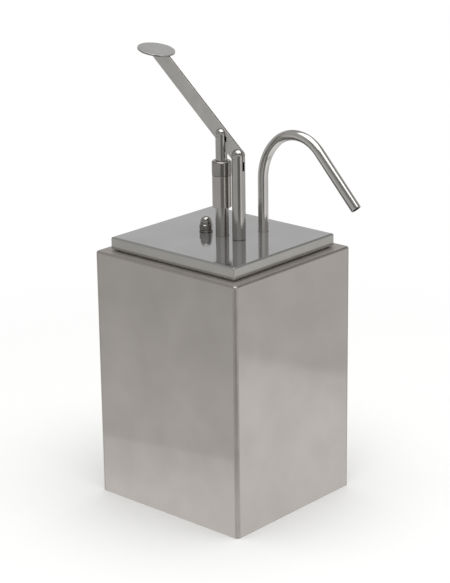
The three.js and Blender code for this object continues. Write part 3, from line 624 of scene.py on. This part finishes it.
def containerPan():
    s = pan
    low, high = spanOf("sauce_container")
    foot = (s["flange"] + s["taper"] + s["floorBend"], low + s["floorBend"])
    neck = (s["flange"] - s["flangeBend"], high - s["sheet"] - s["flangeBend"])
    outline = bendOf(*foot, s["floorBend"], -90, 0)
    outline += bendOf(*neck, -s["flangeBend"], 0, 90)
    outline += cutEdge((0, high - s["sheet"]), (0, high), (1, 0))
    outline += bendOf(*neck, -s["flangeBend"] - s["sheet"], 90, 0)
    outline += bendOf(*foot, s["floorBend"] - s["sheet"], 0, -90)
    piece = newPiece("containerPan", boxMesh(s, s["corner"] + s["flange"], outline, False, 14))
    finish(piece, drawnPan, "container", ["sauce_container"])


containerPan()
print("container made")


# Lid with the pump bridge under it

cover = {
    "halfWidth": 82, "halfDepth": 89, "skirt": 13, "sheet": 1.2, "bend": 2.2, "corner": 1.4, "play": 0.3,
    "neck": 7.3, "stud": 4.0, "spout": 5.65, "spacing": 24, "spoutAside": 40, "cut": 5,
}
studY, postY = cover["spacing"], -cover["spacing"]
atStud, atPost = Matrix.Translation((0, studY, 0)), Matrix.Translation((0, postY, 0))


def lidCover():
    s = cover
    low, bend = lidTop - s["skirt"], s["bend"]
    outline = bendOf(bend, lidTop - bend, bend - s["sheet"], 90, 0, 4)
    outline += cutEdge((s["sheet"], low), (0, low), (0, 1))
    outline += bendOf(bend, lidTop - bend, bend, 0, 90)
    piece = newPiece("lidCover", boxMesh(s, s["corner"], outline, False))
    holes = [(0, 0, s["neck"]), (0, studY, s["stud"]), (0, postY, s["stud"]),
             (s["spoutAside"], postY, s["spout"])]
    carve(piece, [roundBar(r + s["play"], lidTop - s["cut"], lidTop + s["cut"], x, y) for x, y, r in holes])
    finish(piece, brightSheet, "lid_and_pump", ["lid"])
    dressRim(piece, paddedSheet, Vector((0, 0, 1)))


bridge = {"halfWidth": 17, "halfLength": 37, "play": 0.3, "edge": 0.3}


def bridgePlate():
    s = bridge
    low, high = spanOf("pump_bridge")
    straight = s["halfLength"] - s["halfWidth"]
    outline = arcOf(0, straight, s["halfWidth"], 0, 180, 24)
    outline += arcOf(0, -straight, s["halfWidth"], 180, 360, 24)
    piece = newPiece("bridgePlate", plateMesh(outline, low, high))
    holes = [(0, cover["neck"]), (studY, cover["stud"]), (postY, cover["stud"])]
    carve(piece, [roundBar(r + s["play"], low - past, high + past, 0, y) for y, r in holes])
    finish(piece, drawnPan, "lid_and_pump", ["pump_bridge"], s["edge"])


nut = {"flats": 13, "bore": 4.3, "washer": 7.4, "dome": 6.2, "hexHeight": 6.5, "roof": 4.5, "edge": 0.2}


def hexagon(flats, low, high, x=0, y=0, skin=0.05):
    # hexagon bar with both ends chamfered by turning; the skin keeps the tool clear of the bar's corners
    corner = flats / math.sqrt(3)
    chamfer = corner - flats / 2
    angles = [math.radians(60 * i + 30) for i in range(6)]
    outline = [(corner * math.cos(a), corner * math.sin(a)) for a in angles]
    place = Matrix.Translation((x, y, 0))
    blank = [(0, low), (flats / 2, low), (corner + skin, low + chamfer), (corner + skin, high - chamfer),
             (flats / 2, high), (0, high)]
    piece = newPiece("hexagon", plateMesh(outline, low, high), place)
    return carve(piece, [turned("chamfer", blank, 96, 0, place)], "INTERSECT")


def plainNut(name, node, flats, bore, y=0):
    low, high = spanOf(node)
    piece = carve(hexagon(flats, low, high, 0, y), [roundBar(bore, low - past, high + past, 0, y)])
    piece.name = name
    # the nut's darker steel is painted shade
    finish(piece, rolledBarPaintedDark, frame["nodes"][node]["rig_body"], [node], 0.15)


def plainWasher(name, node, place):
    piece = turned(name, barOf(nut["washer"], *spanOf(node), nut["bore"]), 64, 0.25, place)
    finish(piece, rolledBarPaintedDark, "lid_and_pump", [node])


def acornNut():
    low, high = spanOf("acorn_nut")
    hexHigh = low + nut["hexHeight"]
    outline = [(0, hexHigh - 1), (nut["dome"], hexHigh - 1)]
    outline += arcOf(0, high - nut["dome"], nut["dome"], 0, 90, 14)
    dome = turned("dome", outline, 64, 0, atStud)
    piece = carve(hexagon(nut["flats"], low, hexHigh, 0, studY), [dome], "UNION")
    carve(piece, [roundBar(nut["bore"], low - past, high - nut["roof"], 0, studY)])
    piece.name = "acornNut"
    # the nut's darker steel is painted shade
    finish(piece, rolledBarPaintedDark, "lid_and_pump", ["acorn_nut"], nut["edge"])


thread = {"core": 3.55, "crest": 4.0, "pitch": 1.25, "wire": 0.42, "steps": 40, "sides": 4, "end": 0.8}


def threadOn(name, low, high, y):
    # ridge of a right-hand thread between two heights
    values = {"Turns": (high - low) / thread["pitch"], "Radius": (thread["crest"] - thread["wire"]) * mm,
              "Height": (high - low) * mm, "Wire Radius": thread["wire"] * mm,
              "Steps Per Turn": thread["steps"], "Sides": thread["sides"]}
    piece = grown(name, bmesh.new(), coil, rolledBarPaintedDark, values, Matrix.Translation((0, y * mm, low * mm)))
    finish(piece, rolledBarPaintedDark, "lid_and_pump", [])


def bridgeStud():
    low, high = spanOf("bridge_stud")
    piece = turned("bridgeStud", barOf(thread["core"], low, high), 48, 0.5, atStud)
    finish(piece, rolledBarPaintedDark, "lid_and_pump", ["bridge_stud"])
    threadOn("bridgeStudThread", low + thread["end"], high - thread["end"], studY)


lidCover()
bridgePlate()
bridgeStud()
plainWasher("acornNutWasher", "acorn_nut_washer", atStud)
plainWasher("postNutWasher", "post_nut_washer", atPost)
plainNut("postNut", "post_nut", nut["flats"], nut["bore"], postY)
acornNut()
print("lid and fastenings made")


# Post, lever and press plate

lever = {
    "angle": 40.66, "press": 47, "pivot": 91.5, "thickness": 2.5, "width": 17.4, "play": 0.3,
    "reach": 154.2, "plateRadius": 20.7, "plateThickness": 1.8, "plateTilt": 11.2, "setback": 6,
    "pin": 2.5, "rodPin": 2.0, "pinPlay": 0.1, "pinFit": 0.05, "edge": 0.3,
}
post = {"radius": 7.25, "slotDepth": 23.2, "threadEnd": 3, "edge": 0.15}
pivotHeight = lidTop + lever["pivot"]


def slotTool(radius, top, depth, place=None):
    # block that saws the blade's slot into a domed head
    half = lever["thickness"] / 2 + lever["play"]
    side = radius + past
    outline = [(-half, -side), (half, -side), (half, side), (-half, side)]
    return newPiece("saw", plateMesh(outline, top - depth, top + past), place)


def fulcrumPost():
    s = post
    low, high = spanOf("fulcrum_post")
    seat = lidTop + pressGap
    outline = [(0, low), (thread["core"], low, 0.5), (thread["core"], seat, 0), (s["radius"], seat)]
    outline += arcOf(0, high - s["radius"], s["radius"], 0, 90, 20)
    piece = turned("fulcrumPost", outline, 96, 0.3, atPost)
    pinHole = crossBar(lever["pin"] + lever["pinFit"], s["radius"] + past, postY, pivotHeight)
    carve(piece, [slotTool(s["radius"], high, s["slotDepth"], atPost), pinHole])
    finish(piece, turnedBar, "lid_and_pump", ["fulcrum_post"], s["edge"])
    threadOn("postThread", low + thread["end"], lidTop - s["threadEnd"], postY)


def pinPiece(name, node, radius, half, y, z, body, rounded=0.7):
    # cross pin with its ends rounded over flush with the head
    outline = [(0, -half), (radius, -half, rounded), (radius, half, rounded), (0, half)]
    finish(turned(name, outline, 48, rounded, lyingAt(0, y, z)), turnedBar, body, [node])


def leverFrame():
    # axes of the blade: x along it, y across it, z through its thickness
    turn = Matrix(((0, 0, 1, 0), (1, 0, 0, 0), (0, 1, 0, 0), (0, 0, 0, 1)))
    place = Matrix.Translation((0, postY, pivotHeight))
    return place @ Matrix.Rotation(math.radians(lever["angle"]), 4, "X") @ turn


def pinTrack(steps=24):
    # where the rod pin runs in the blade while the plunger follows at an even rate
    start, press = math.radians(lever["angle"]), math.radians(lever["press"])
    spacing = cover["spacing"]
    stroke = spacing * (math.tan(start) - math.tan(start - press))
    along, across = [], []
    for i in range(steps + 1):
        angle = start - press * i / steps
        rise = spacing * math.tan(start) - stroke * i / steps
        along.append(spacing * math.cos(angle) + rise * math.sin(angle))
        across.append(rise * math.cos(angle) - spacing * math.sin(angle))
    return min(along), max(along), min(across), max(across)


def noseLine():
    # line on which the blade's end meets the underside of the press plate
    slope = math.radians(lever["angle"] - lever["plateTilt"])
    along, normal = Vector((math.cos(slope), -math.sin(slope))), Vector((math.sin(slope), math.cos(slope)))
    middle = Vector((lever["reach"], 0)) - normal * (lever["plateThickness"] / 2 + lever["play"])
    half = lever["width"] / 2
    top = middle + along * ((half - middle.y) / along.y)
    reach = min(lever["plateRadius"] - lever["setback"], (-half - middle.y) / along.y)
    tip = middle + along * reach
    heel = tip - normal * ((tip.y + half) / normal.y)
    return top, tip, heel


def leverBlade():
    s = lever
    half = s["width"] / 2
    outline = arcOf(0, 0, half, 90, 270, 28) + [(corner.x, corner.y) for corner in reversed(noseLine())]
    place = leverFrame()
    piece = newPiece("leverBlade", plateMesh(outline, -s["thickness"] / 2, s["thickness"] / 2), place)
    near, far, low, high = pinTrack()
    radius, middle = s["rodPin"] + s["play"] + (high - low) / 2, (high + low) / 2
    longHole = arcOf(far, middle, radius, -90, 90, 14) + arcOf(near, middle, radius, 90, 270, 14)
    pinHole = arcOf(0, 0, s["pin"] + s["pinPlay"], 0, 345, 23)
    punch = 2 * s["thickness"]
    carve(piece, [newPiece("punch", plateMesh(hole, -punch, punch), place) for hole in (longHole, pinHole)])
    finish(piece, satinBar, "lever", ["lever_blade"], s["edge"])
    dressRim(piece, satinSheet, Vector((1, 0, 0)))


def pressPlate(rolled=0.35):
    s = lever
    half, radius = s["plateThickness"] / 2, s["plateRadius"]
    outline = [(0, -half), (radius, -half, rolled), (radius, half, rolled), (0, half)]
    place = Matrix.Translation(leverFrame() @ Vector((s["reach"], 0, 0)))
    place = place @ Matrix.Rotation(math.radians(s["plateTilt"]), 4, "X")
    piece = turned("pressPlate", outline, 128, 0.7, place)
    finish(piece, stampedDisc, "lever", ["press_plate"])
    # the disc's darker edge is painted shade
    dressRim(piece, discEdgePaintedShade, place.to_3x3() @ Vector((0, 0, 1)))


dropSizes = {"Smallest": 0.88, "Largest": 1.12}
plateWeld = {"spacing": 1.1, "drop": 0.85, "inset": 1.5, "aside": 0.1, "seed": 4}


def plateWeldRun():
    # fillet on both sides of the blade where it stands on the plate
    s = plateWeld
    top, tip, _ = noseLine()
    place = leverFrame()
    bm = bmesh.new()
    along = (tip - top).normalized()
    for side in (-1, 1):
        z = side * (lever["thickness"] / 2 + s["aside"])
        ends = [top + along * s["inset"], tip - along * s["inset"]]
        bm.edges.new([bm.verts.new(place @ Vector((p.x, p.y, z))) for p in ends])
    values = {"Spacing": s["spacing"] * mm, "Drop Radius": s["drop"] * mm, "Seed": s["seed"], **dropSizes}
    piece = grown("plateWeld", bm, welding, weldRun, values)
    finish(piece, weldRun, "lever", [])


fulcrumPost()
pinPiece("fulcrumPin", "fulcrum_pin", lever["pin"], post["radius"], postY, pivotHeight, "lid_and_pump")
leverBlade()
pressPlate()
plateWeldRun()
print("post and lever made")


# Plunger, neck and spring

rod = {"head": 6.3, "stem": 4.0, "end": 3.0, "slotDepth": 24.6, "pinDrop": 6.8, "edge": 0.15}
cap = {"radius": 10.6, "bore": 6.6, "spigot": 9.3, "spigotHeight": 4, "edge": 2.0, "lip": 0.4,
       "shoulder": 0.35}
sleeve = {"radius": 10.4, "wall": 0.8}
neck = {"radius": 7.3, "wall": 0.9}
bush = {"radius": 6.1, "bore": 4.3}
spring = {"radius": 5.2, "wire": 0.55, "turns": 12, "steps": 40, "sides": 12, "stroke": 23.28}


def plungerRod():
    s = rod
    low, high = spanOf("plunger_rod")
    capLow = spanOf("sleeve_cap")[0]
    step = spanOf("piston")[1] + pressGap
    outline = [(0, low), (s["end"], low, 0.5), (s["end"], step), (s["stem"], step), (s["stem"], capLow),
               (s["head"], capLow)]
    outline += arcOf(0, high - s["head"], s["head"], 0, 90, 20)
    piece = turned("plungerRod", outline, 96, 0.3)
    pinHole = crossBar(lever["rodPin"] + lever["pinFit"], s["head"] + past, 0, high - s["pinDrop"])
    carve(piece, [slotTool(s["head"], high, s["slotDepth"]), pinHole])
    finish(piece, turnedBar, "plunger", ["plunger_rod"], s["edge"])


def sleeveCap():
    s = cap
    low, high = spanOf("sleeve_cap")
    shoulder = low + s["spigotHeight"]
    outline = [(s["bore"], low), (s["spigot"], low), (s["spigot"], shoulder),
               (s["radius"], shoulder, s["shoulder"])]
    edge = arcOf(s["radius"] - s["edge"], high - s["edge"], s["edge"], 0, 90, 10)
    outline += [(x, z, 0) for x, z in edge] + [(s["bore"], high, s["lip"])]
    # the cap's darker steel is painted shade
    finish(turned("sleeveCap", outline, 96, 0.3), capPaintedShade, "plunger", ["sleeve_cap"])


def tubePiece(name, node, radius, wall, material, body, place=None, sides=96):
    # straight tube with its ends lightly broken
    piece = turned(name, barOf(radius, *spanOf(node), radius - wall), sides, 0.25, place)
    finish(piece, material, body, [node])


def returnSpring():
    s = spring
    low, high = spanOf("return_spring")
    start, height = low + s["wire"], high - low - 2 * s["wire"]
    values = {"Turns": float(s["turns"]), "Radius": s["radius"] * mm, "Height": height * mm,
              "Wire Radius": s["wire"] * mm, "Steps Per Turn": s["steps"], "Sides": s["sides"]}
    place = Matrix.Translation((0, 0, start * mm))
    piece = grown("returnSpring", bmesh.new(), coil, springWire, values, place)
    finish(piece, springWire, "lid_and_pump", ["return_spring"])
    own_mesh(piece)


plungerRod()
pinPiece("rodPin", "rod_pin", lever["rodPin"], rod["head"], 0, spanOf("plunger_rod")[1] - rod["pinDrop"],
         "plunger")
sleeveCap()
tubePiece("springSleeve", "spring_sleeve", sleeve["radius"], sleeve["wall"], polishedTube, "plunger")
tubePiece("neckTube", "neck_tube", neck["radius"], neck["wall"], polishedTube, "lid_and_pump")
tubePiece("guideBush", "guide_bush", bush["radius"], bush["radius"] - bush["bore"], acetal, "lid_and_pump",
          sides=64)
returnSpring()
print("plunger made")


# Pump in the container

barrel = {"radius": 18, "wall": 1.5, "port": 5.0}
head = {"flange": 4, "spigot": 6, "boss": 9.5, "bossEdge": 0.8, "socket": 7.6, "rodBore": 4.3, "vent": 1.5}
plunger = {"bore": 3.3, "seal": 2.4, "groove": 2.2, "play": 0.3, "nutFlats": 10}
foot = {"inlet": 6, "flange": 5, "chamber": 8.6, "pin": 1.2, "pinPlay": 0.1, "pinHalf": 15.9,
        "blind": 0.2}
outlet = {
    "arm": 6, "armWall": 1, "body": 10, "mouth": 3.6, "mouthDepth": 2, "bore": 5.95,
    "pin": 0.8, "pinPlay": 0.05, "fit": 0.15, "tube": 5.65, "tubeWall": 1,
}
coupling = {"radius": 9, "socket": 5.95, "seat": 7.8, "seatDepth": 2.6, "shoulder": 4.85, "ring": 7.5,
            "flats": 22, "web": 2.5, "edge": 0.2}
bore = barrel["radius"] - barrel["wall"]
besideX, besideY = cover["spoutAside"], postY
beside = Matrix.Translation((besideX, besideY, 0))
portHeight = sum(spanOf("outlet_arm")) / 2
atPort = Matrix.Translation((0, 0, portHeight)) @ Matrix.Rotation(math.atan2(besideY, besideX), 4, "Z")


def armBar(radius, start, end):
    # level bar from the pump axis towards the riser
    return turned("drill", barOf(radius, start, end), 64, 0, atPort @ Matrix.Rotation(math.pi / 2, 4, "Y"))


def pumpBarrel():
    piece = turned("pumpBarrel", barOf(barrel["radius"], *spanOf("pump_cylinder"), bore), 96, 0.25)
    carve(piece, [armBar(barrel["port"], 0, barrel["radius"] + past)])
    finish(piece, drawnPan, "lid_and_pump", ["pump_cylinder"])


def barrelHead():
    s = head
    low, high = spanOf("cylinder_head")
    plug, seat = bore - pressGap, low + s["spigot"]
    top = seat + s["flange"]
    outline = [(s["rodBore"], low), (plug, low), (plug, seat), (barrel["radius"], seat),
               (barrel["radius"], top), (s["boss"], top, s["bossEdge"]), (s["boss"], high),
               (s["socket"], high), (s["socket"], top), (s["rodBore"], top)]
    piece = turned("barrelHead", outline, 96, 0.35)
    carve(piece, [roundBar(s["vent"], low - past, high + past, 0, (s["boss"] + plug) / 2)])
    finish(piece, turnedBar, "lid_and_pump", ["cylinder_head"])


def pistonPiece():
    s = plunger
    low, high = spanOf("piston")
    radius = bore - s["play"]
    groove = radius - s["groove"]
    land = (high - low - 2 * s["seal"]) / 3
    outline = [(s["bore"], low), (radius, low)]
    for start in (low + land, high - land - s["seal"]):
        end = start + s["seal"]
        outline += [(radius, start), (groove, start), (groove, end), (radius, end)]
    outline += [(radius, high), (s["bore"], high)]
    finish(turned("pistonBody", outline, 96, 0.25), acetal, "plunger", ["piston"])
    for name, node in (("pistonSealLower", "piston_seal_lower"), ("pistonSealUpper", "piston_seal_upper")):
        tubePiece(name, node, radius, s["groove"] - s["play"], nitrile, "plunger")
    plainNut("pistonNut", "piston_nut", s["nutFlats"], s["bore"])


def footValve():
    s = foot
    low, high = spanOf("foot_valve")
    plug, seat = bore - pressGap, low + s["flange"]
    outline = [(s["inlet"], low), (barrel["radius"], low), (barrel["radius"], seat), (plug, seat),
               (plug, high), (s["chamber"], high), (s["chamber"], seat + s["chamber"] - s["inlet"]),
               (s["inlet"], seat)]
    piece = turned("footValve", outline, 96, 0.35)
    pinHeight = sum(spanOf("inlet_ball_pin")) / 2
    carve(piece, [crossBar(s["pin"] + s["pinPlay"], plug - s["blind"], 0, pinHeight)])
    finish(piece, turnedBar, "lid_and_pump", ["foot_valve"])


def ballPiece(name, node, body, place=None, steps=32):
    # valve ball, its poles exactly on the axis
    low, high = spanOf(node)
    arc = arcOf(0, (high + low) / 2, (high - low) / 2, -90, 90, steps)
    outline = [(max(x, 0.0) if 0 < i < steps else 0.0, z) for i, (x, z) in enumerate(arc)]
    finish(turned(name, outline, 64, 0, place), polishedSpout, body, [node], 0, 60)


def outletPieces():
    s = outlet
    reach = math.hypot(besideX, besideY)
    end = reach - s["body"] + s["armWall"]
    hollow = s["arm"] - s["armWall"]
    arm = armBar(s["arm"], 0, end)
    arm.name = "outletArm"
    tall = 1.5 * s["arm"]
    barrelTool = roundBar(barrel["radius"] + s["fit"], portHeight - tall, portHeight + tall, sides=96)
    carve(arm, [armBar(hollow, -past, end + past), barrelTool])
    finish(arm, drawnPan, "lid_and_pump", ["outlet_arm"])
    low, high = spanOf("outlet_valve_body")
    step = portHeight + s["arm"] - s["armWall"]
    outline = [(0, low), (s["body"], low), (s["body"], high), (s["bore"], high),
               (s["bore"], step + s["mouthDepth"]), (s["mouth"], step + s["mouthDepth"]), (s["mouth"], step),
               (hollow, step), (hollow, portHeight - hollow), (0, portHeight - hollow)]
    body = turned("outletValveBody", outline, 96, 0.35, beside)
    pinHeight = sum(spanOf("outlet_ball_pin")) / 2
    pinHole = crossBar(s["pin"] + s["pinPlay"], s["body"] + past, besideY, pinHeight, besideX)
    carve(body, [armBar(s["arm"] + s["fit"], 0, end + pressGap), armBar(hollow, 0, reach), pinHole])
    finish(body, turnedBar, "lid_and_pump", ["outlet_valve_body"])
    tubePiece("riserTube", "riser_tube", s["tube"], s["tubeWall"], polishedTube, "lid_and_pump",
              beside, 64)


def innerPin(name, node, radius, half, x=0, y=0):
    # cross pin that keeps a valve ball in
    piece = turned(name, barOf(radius, -half, half), 32, 0.25, lyingAt(x, y, sum(spanOf(node)) / 2))
    finish(piece, rolledBarPaintedDark, "lid_and_pump", [node])


def couplingPieces():
    s = coupling
    low, high = spanOf("riser_coupling")
    riserEnd, spoutEnd = spanOf("riser_tube")[1] + pressGap, spanOf("spout_tube")[0] - pressGap
    outline = [(s["socket"], low), (s["radius"], low), (s["radius"], high), (s["seat"], high),
               (s["seat"], high - s["seatDepth"]), (s["socket"], high - s["seatDepth"]),
               (s["socket"], spoutEnd), (s["shoulder"], spoutEnd), (s["shoulder"], riserEnd),
               (s["socket"], riserEnd)]
    piece = turned("riserCoupling", outline, 80, 0.2, beside)
    finish(piece, turnedBar, "lid_and_pump", ["riser_coupling"])
    tubePiece("spoutSeal", "spout_seal_ring", s["ring"], s["ring"] - s["socket"], nitrile, "lid_and_pump",
              beside, 64)
    low, high = spanOf("spout_union_nut")
    piece = hexagon(s["flats"], low, high, besideX, besideY)
    carve(piece, [roundBar(s["socket"], low - past, high + past, besideX, besideY),
                  roundBar(s["radius"] + pressGap, low - past, high - s["web"], besideX, besideY)])
    piece.name = "spoutUnionNut"
    finish(piece, rolledBarPaintedDark, "lid_and_pump", ["spout_union_nut"], s["edge"])


armWeld = {"spacing": 1.3, "drop": 1.0, "steps": 48, "seed": 7}


def armWeldRun():
    # weld round the outlet arm, in the saddle where it meets the barrel
    s = armWeld
    bm = bmesh.new()
    verts = []
    for i in range(s["steps"]):
        a = 2 * math.pi * i / s["steps"]
        y, z = outlet["arm"] * math.cos(a), outlet["arm"] * math.sin(a)
        verts.append(bm.verts.new(atPort @ Vector((math.sqrt(barrel["radius"] ** 2 - y * y), y, z))))
    for pair in zip(verts, verts[1:] + verts[:1]):
        bm.edges.new(pair)
    values = {"Spacing": s["spacing"] * mm, "Drop Radius": s["drop"] * mm, "Seed": s["seed"], **dropSizes}
    finish(grown("armWeld", bm, welding, weldRun, values), weldRun, "lid_and_pump", [])


pumpBarrel()
barrelHead()
pistonPiece()
footValve()
ballPiece("inletBall", "inlet_ball", "inlet_ball_body")
innerPin("inletBallPin", "inlet_ball_pin", foot["pin"], foot["pinHalf"])
outletPieces()
ballPiece("outletBall", "outlet_ball", "outlet_ball_body", beside)
innerPin("outletBallPin", "outlet_ball_pin", outlet["pin"], outlet["body"], besideX, besideY)
couplingPieces()
armWeldRun()
print("pump made")


# Spout

spout = {"radius": 5.65, "wall": 1.0, "rise": 59.2, "entryBend": 59.2, "entryTurn": 48, "topBend": 41.4,
         "topTurn": 88.9, "outlet": 73.4, "steps": 180, "sides": 64, "edge": 0.2}


def swanNeckSpout():
    s = spout
    low = spanOf("spout_tube")[0]
    values = {"Low": low * mm, "Rise": (lidTop + s["rise"] - low) * mm, "Outlet": s["outlet"] * mm,
              "Entry Radius": s["entryBend"] * mm, "Entry Turn": math.radians(s["entryTurn"]),
              "Top Radius": s["topBend"] * mm, "Top Turn": math.radians(s["topTurn"]),
              "Tube Radius": s["radius"] * mm, "Steps": s["steps"], "Sides": s["sides"]}
    place = Matrix.Translation((besideX * mm, besideY * mm, 0))
    piece = grown("swanNeckSpout", bmesh.new(), swanNeck, polishedSpout, values, place)
    wall = piece.modifiers.new("wall", "SOLIDIFY")
    wall.thickness = s["wall"] * mm
    wall.offset = -1
    settle(piece)
    finish(piece, polishedSpout, "lid_and_pump", ["spout_tube"], s["edge"], 40)


swanNeckSpout()
print("spout made")


# Studio: floor, world, lamp and camera

towardsCamera = Vector((-0.7441, -0.6681, 0))
towardsPhotographer = Vector((-0.6561, -0.7547, 0))
acrossCamera = Vector((0.6681, -0.7441, 0))
acrossTable = Vector((-0.973, 0.23, 0))
table = {"half": 20.0, "colour": "#fafaf9", "steelShare": 0.92, "right": 0.76, "front": 0.18, "rear": 0.55}
# each fade: what it follows, where it starts and ends there, and its levels, if not from 0 to 1
tableFades = {
    "near": ("leftward", 0.12, 0.25, 1.04, 0.87), "end": ("leftward", -0.41, -0.27, 0.91, 1.0),
    "left": ("leftward", 0.25, 0.77, 0.75, 0.61), "leftEdge": ("leftward", 0.25, 0.256),
    "rightEdge": ("leftward", -0.45, -0.41), "away": ("distance", 0.2, 0.5),
    "front": ("ahead", 0.88, 0.97), "rear": ("behind", 0.2, 0.8),
    "white": ("distance", 0.3, 0.9),
}
room = {"fill": 0.64, "frontWall": 0.24, "ceiling": 0.92}
roomFades = {
    "flank": ("aside", -0.3, 0.6, 0.5, 0.34), "low": ("sideways", 0.35, 0.75, 0.72, 0.48),
    "front": ("frontward", 0.25, 0.6), "frontHigh": ("height", 0.32, 0.46),
    "high": ("height", 0.38, 0.5), "top": ("height", 0.78, 0.92),
}


def tableMaterial():
    # pale laminate: white far out for the camera, and for the steel a table that ends on both sides,
    # with a darker room before and behind it
    material = bpy.data.materials.new("paleStudioTable")
    tree = emptyTree(material)
    place = addNode(tree, "ShaderNodeTexCoord").outputs["Object"]
    direction = addNode(tree, "ShaderNodeVectorMath", place, operation="NORMALIZE")
    ahead = addNode(tree, "ShaderNodeVectorMath", direction, towardsPhotographer, operation="DOT_PRODUCT")
    along = {
        "ahead": ahead, "behind": addNode(tree, "ShaderNodeMath", ahead, -1.0, operation="MULTIPLY"),
        "leftward": addNode(tree, "ShaderNodeVectorMath", place, acrossTable, operation="DOT_PRODUCT"),
        "distance": addNode(tree, "ShaderNodeVectorMath", place, operation="LENGTH"),
    }
    fade = {name: addNode(tree, "ShaderNodeMapRange", along[key], *ends, interpolation_type="SMOOTHSTEP")
            for name, (key, *ends) in tableFades.items()}
    near = addNode(tree, "ShaderNodeMath", fade["near"], fade["end"], operation="MULTIPLY")
    level = addNode(tree, "ShaderNodeMix", fade["leftEdge"], near, fade["left"])
    level = addNode(tree, "ShaderNodeMix", fade["rightEdge"], table["right"], level)
    for side in ("front", "rear"):
        share = addNode(tree, "ShaderNodeMath", fade[side], fade["away"], operation="MULTIPLY")
        level = addNode(tree, "ShaderNodeMix", share, level, table[side])
    ray = addNode(tree, "ShaderNodeLightPath").outputs
    laminate = addNode(tree, "ShaderNodeBsdfDiffuse", Color=linear(table["colour"]))
    glow = addNode(tree, "ShaderNodeEmission", Strength=level)
    white = addNode(tree, "ShaderNodeEmission", Strength=1.0)
    steelSees = addNode(tree, "ShaderNodeMath", ray["Is Glossy Ray"], table["steelShare"],
                        operation="MULTIPLY")
    seen = addNode(tree, "ShaderNodeMixShader", steelSees, laminate, glow)
    far = addNode(tree, "ShaderNodeMath", fade["white"], ray["Is Camera Ray"], operation="MULTIPLY")
    addNode(tree, "ShaderNodeOutputMaterial", addNode(tree, "ShaderNodeMixShader", far, seen, white))
    return material


def studioFloor():
    half = table["half"]
    bm = bmesh.new()
    bm.faces.new([bm.verts.new((x * half, y * half, 0)) for x, y in ((-1, -1), (1, -1), (1, 1), (-1, 1))])
    mesh = bpy.data.meshes.new("studioFloor")
    bm.to_mesh(mesh)
    bm.free()
    floor = bpy.data.objects.new("studioFloor", mesh)
    scene.collection.objects.link(floor)
    mesh.materials.append(tableMaterial())


def studioWorld():
    # white for the camera and an even fill for matt surfaces; the steel sees a pale low band, a dimmer
    # room above it, dimmest behind the camera, and a bright ceiling
    world = bpy.data.worlds.new("studioWorld")
    scene.world = world
    tree = emptyTree(world)
    ray = addNode(tree, "ShaderNodeLightPath").outputs
    direction = addNode(tree, "ShaderNodeTexCoord").outputs["Generated"]
    parts = addNode(tree, "ShaderNodeSeparateXYZ", direction).outputs
    across = addNode(tree, "ShaderNodeVectorMath", direction, acrossCamera, operation="DOT_PRODUCT")
    along = {
        "aside": parts["X"], "height": parts["Z"],
        "sideways": addNode(tree, "ShaderNodeMath", across, operation="ABSOLUTE"),
        "frontward": addNode(tree, "ShaderNodeVectorMath", direction, towardsCamera, operation="DOT_PRODUCT"),
    }
    fade = {name: addNode(tree, "ShaderNodeMapRange", along[key], *ends, interpolation_type="SMOOTHSTEP")
            for name, (key, *ends) in roomFades.items()}
    front = addNode(tree, "ShaderNodeMath", fade["front"], fade["frontHigh"], operation="MULTIPLY")
    clear = addNode(tree, "ShaderNodeMath", ray["Is Glossy Ray"], ray["Is Transmission Ray"],
                    operation="MAXIMUM")
    seen = addNode(tree, "ShaderNodeMath", ray["Is Camera Ray"], clear, operation="MAXIMUM")
    level = addNode(tree, "ShaderNodeMix", fade["high"], fade["low"], fade["flank"])
    level = addNode(tree, "ShaderNodeMix", front, level, room["frontWall"])
    level = addNode(tree, "ShaderNodeMix", fade["top"], level, room["ceiling"])
    level = addNode(tree, "ShaderNodeMix", ray["Is Camera Ray"], level, 1.0)
    strength = addNode(tree, "ShaderNodeMix", seen, room["fill"], level)
    back = addNode(tree, "ShaderNodeBackground", Color=(1, 1, 1, 1), Strength=strength)
    addNode(tree, "ShaderNodeOutputWorld", back)


softbox = {"at": (-0.08, -0.2, 1.9), "aim": (0, 0, 0.3), "size": 1.8, "power": 22.0}


def studioLamp():
    s = softbox
    data = bpy.data.lights.new("overheadSoftbox", "AREA")
    data.shape = "SQUARE"
    data.size = s["size"]
    data.energy = s["power"]
    lamp = bpy.data.objects.new("overheadSoftbox", data)
    scene.collection.objects.link(lamp)
    lamp.location = s["at"]
    lamp.rotation_euler = (Vector(s["aim"]) - Vector(s["at"])).to_track_quat("-Z", "Y").to_euler()


shot = {
    "azimuth": -48.0803, "elevation": 18.157, "roll": -0.7356, "distance": 2.10631,
    "target": (0.0028809, 0, 0.2319229), "focus": 1923.343, "longSide": 583, "sensor": 36.0,
    "clip": (0.05, 100),
}


def photoCamera():
    a, e, r = (math.radians(shot[key]) for key in ("azimuth", "elevation", "roll"))
    back = Vector((math.sin(a) * math.cos(e), -math.cos(a) * math.cos(e), math.sin(e)))
    right = Vector((math.cos(a), math.sin(a), 0))
    up = back.cross(right)
    rightRolled = right * math.cos(r) + up * math.sin(r)
    upRolled = up * math.cos(r) - right * math.sin(r)
    data = bpy.data.cameras.new("photoCamera")
    data.sensor_width = shot["sensor"]
    data.lens = shot["focus"] * shot["sensor"] / shot["longSide"]
    data.clip_start, data.clip_end = shot["clip"]
    camera = bpy.data.objects.new("photoCamera", data)
    scene.collection.objects.link(camera)
    turn = Matrix((rightRolled, upRolled, back)).transposed().to_4x4()
    camera.matrix_world = Matrix.Translation(Vector(shot["target"]) + back * shot["distance"]) @ turn
    scene.camera = camera


studioFloor()
studioWorld()
studioLamp()
photoCamera()
scene.view_settings.view_transform = "Standard"
print("studio made")
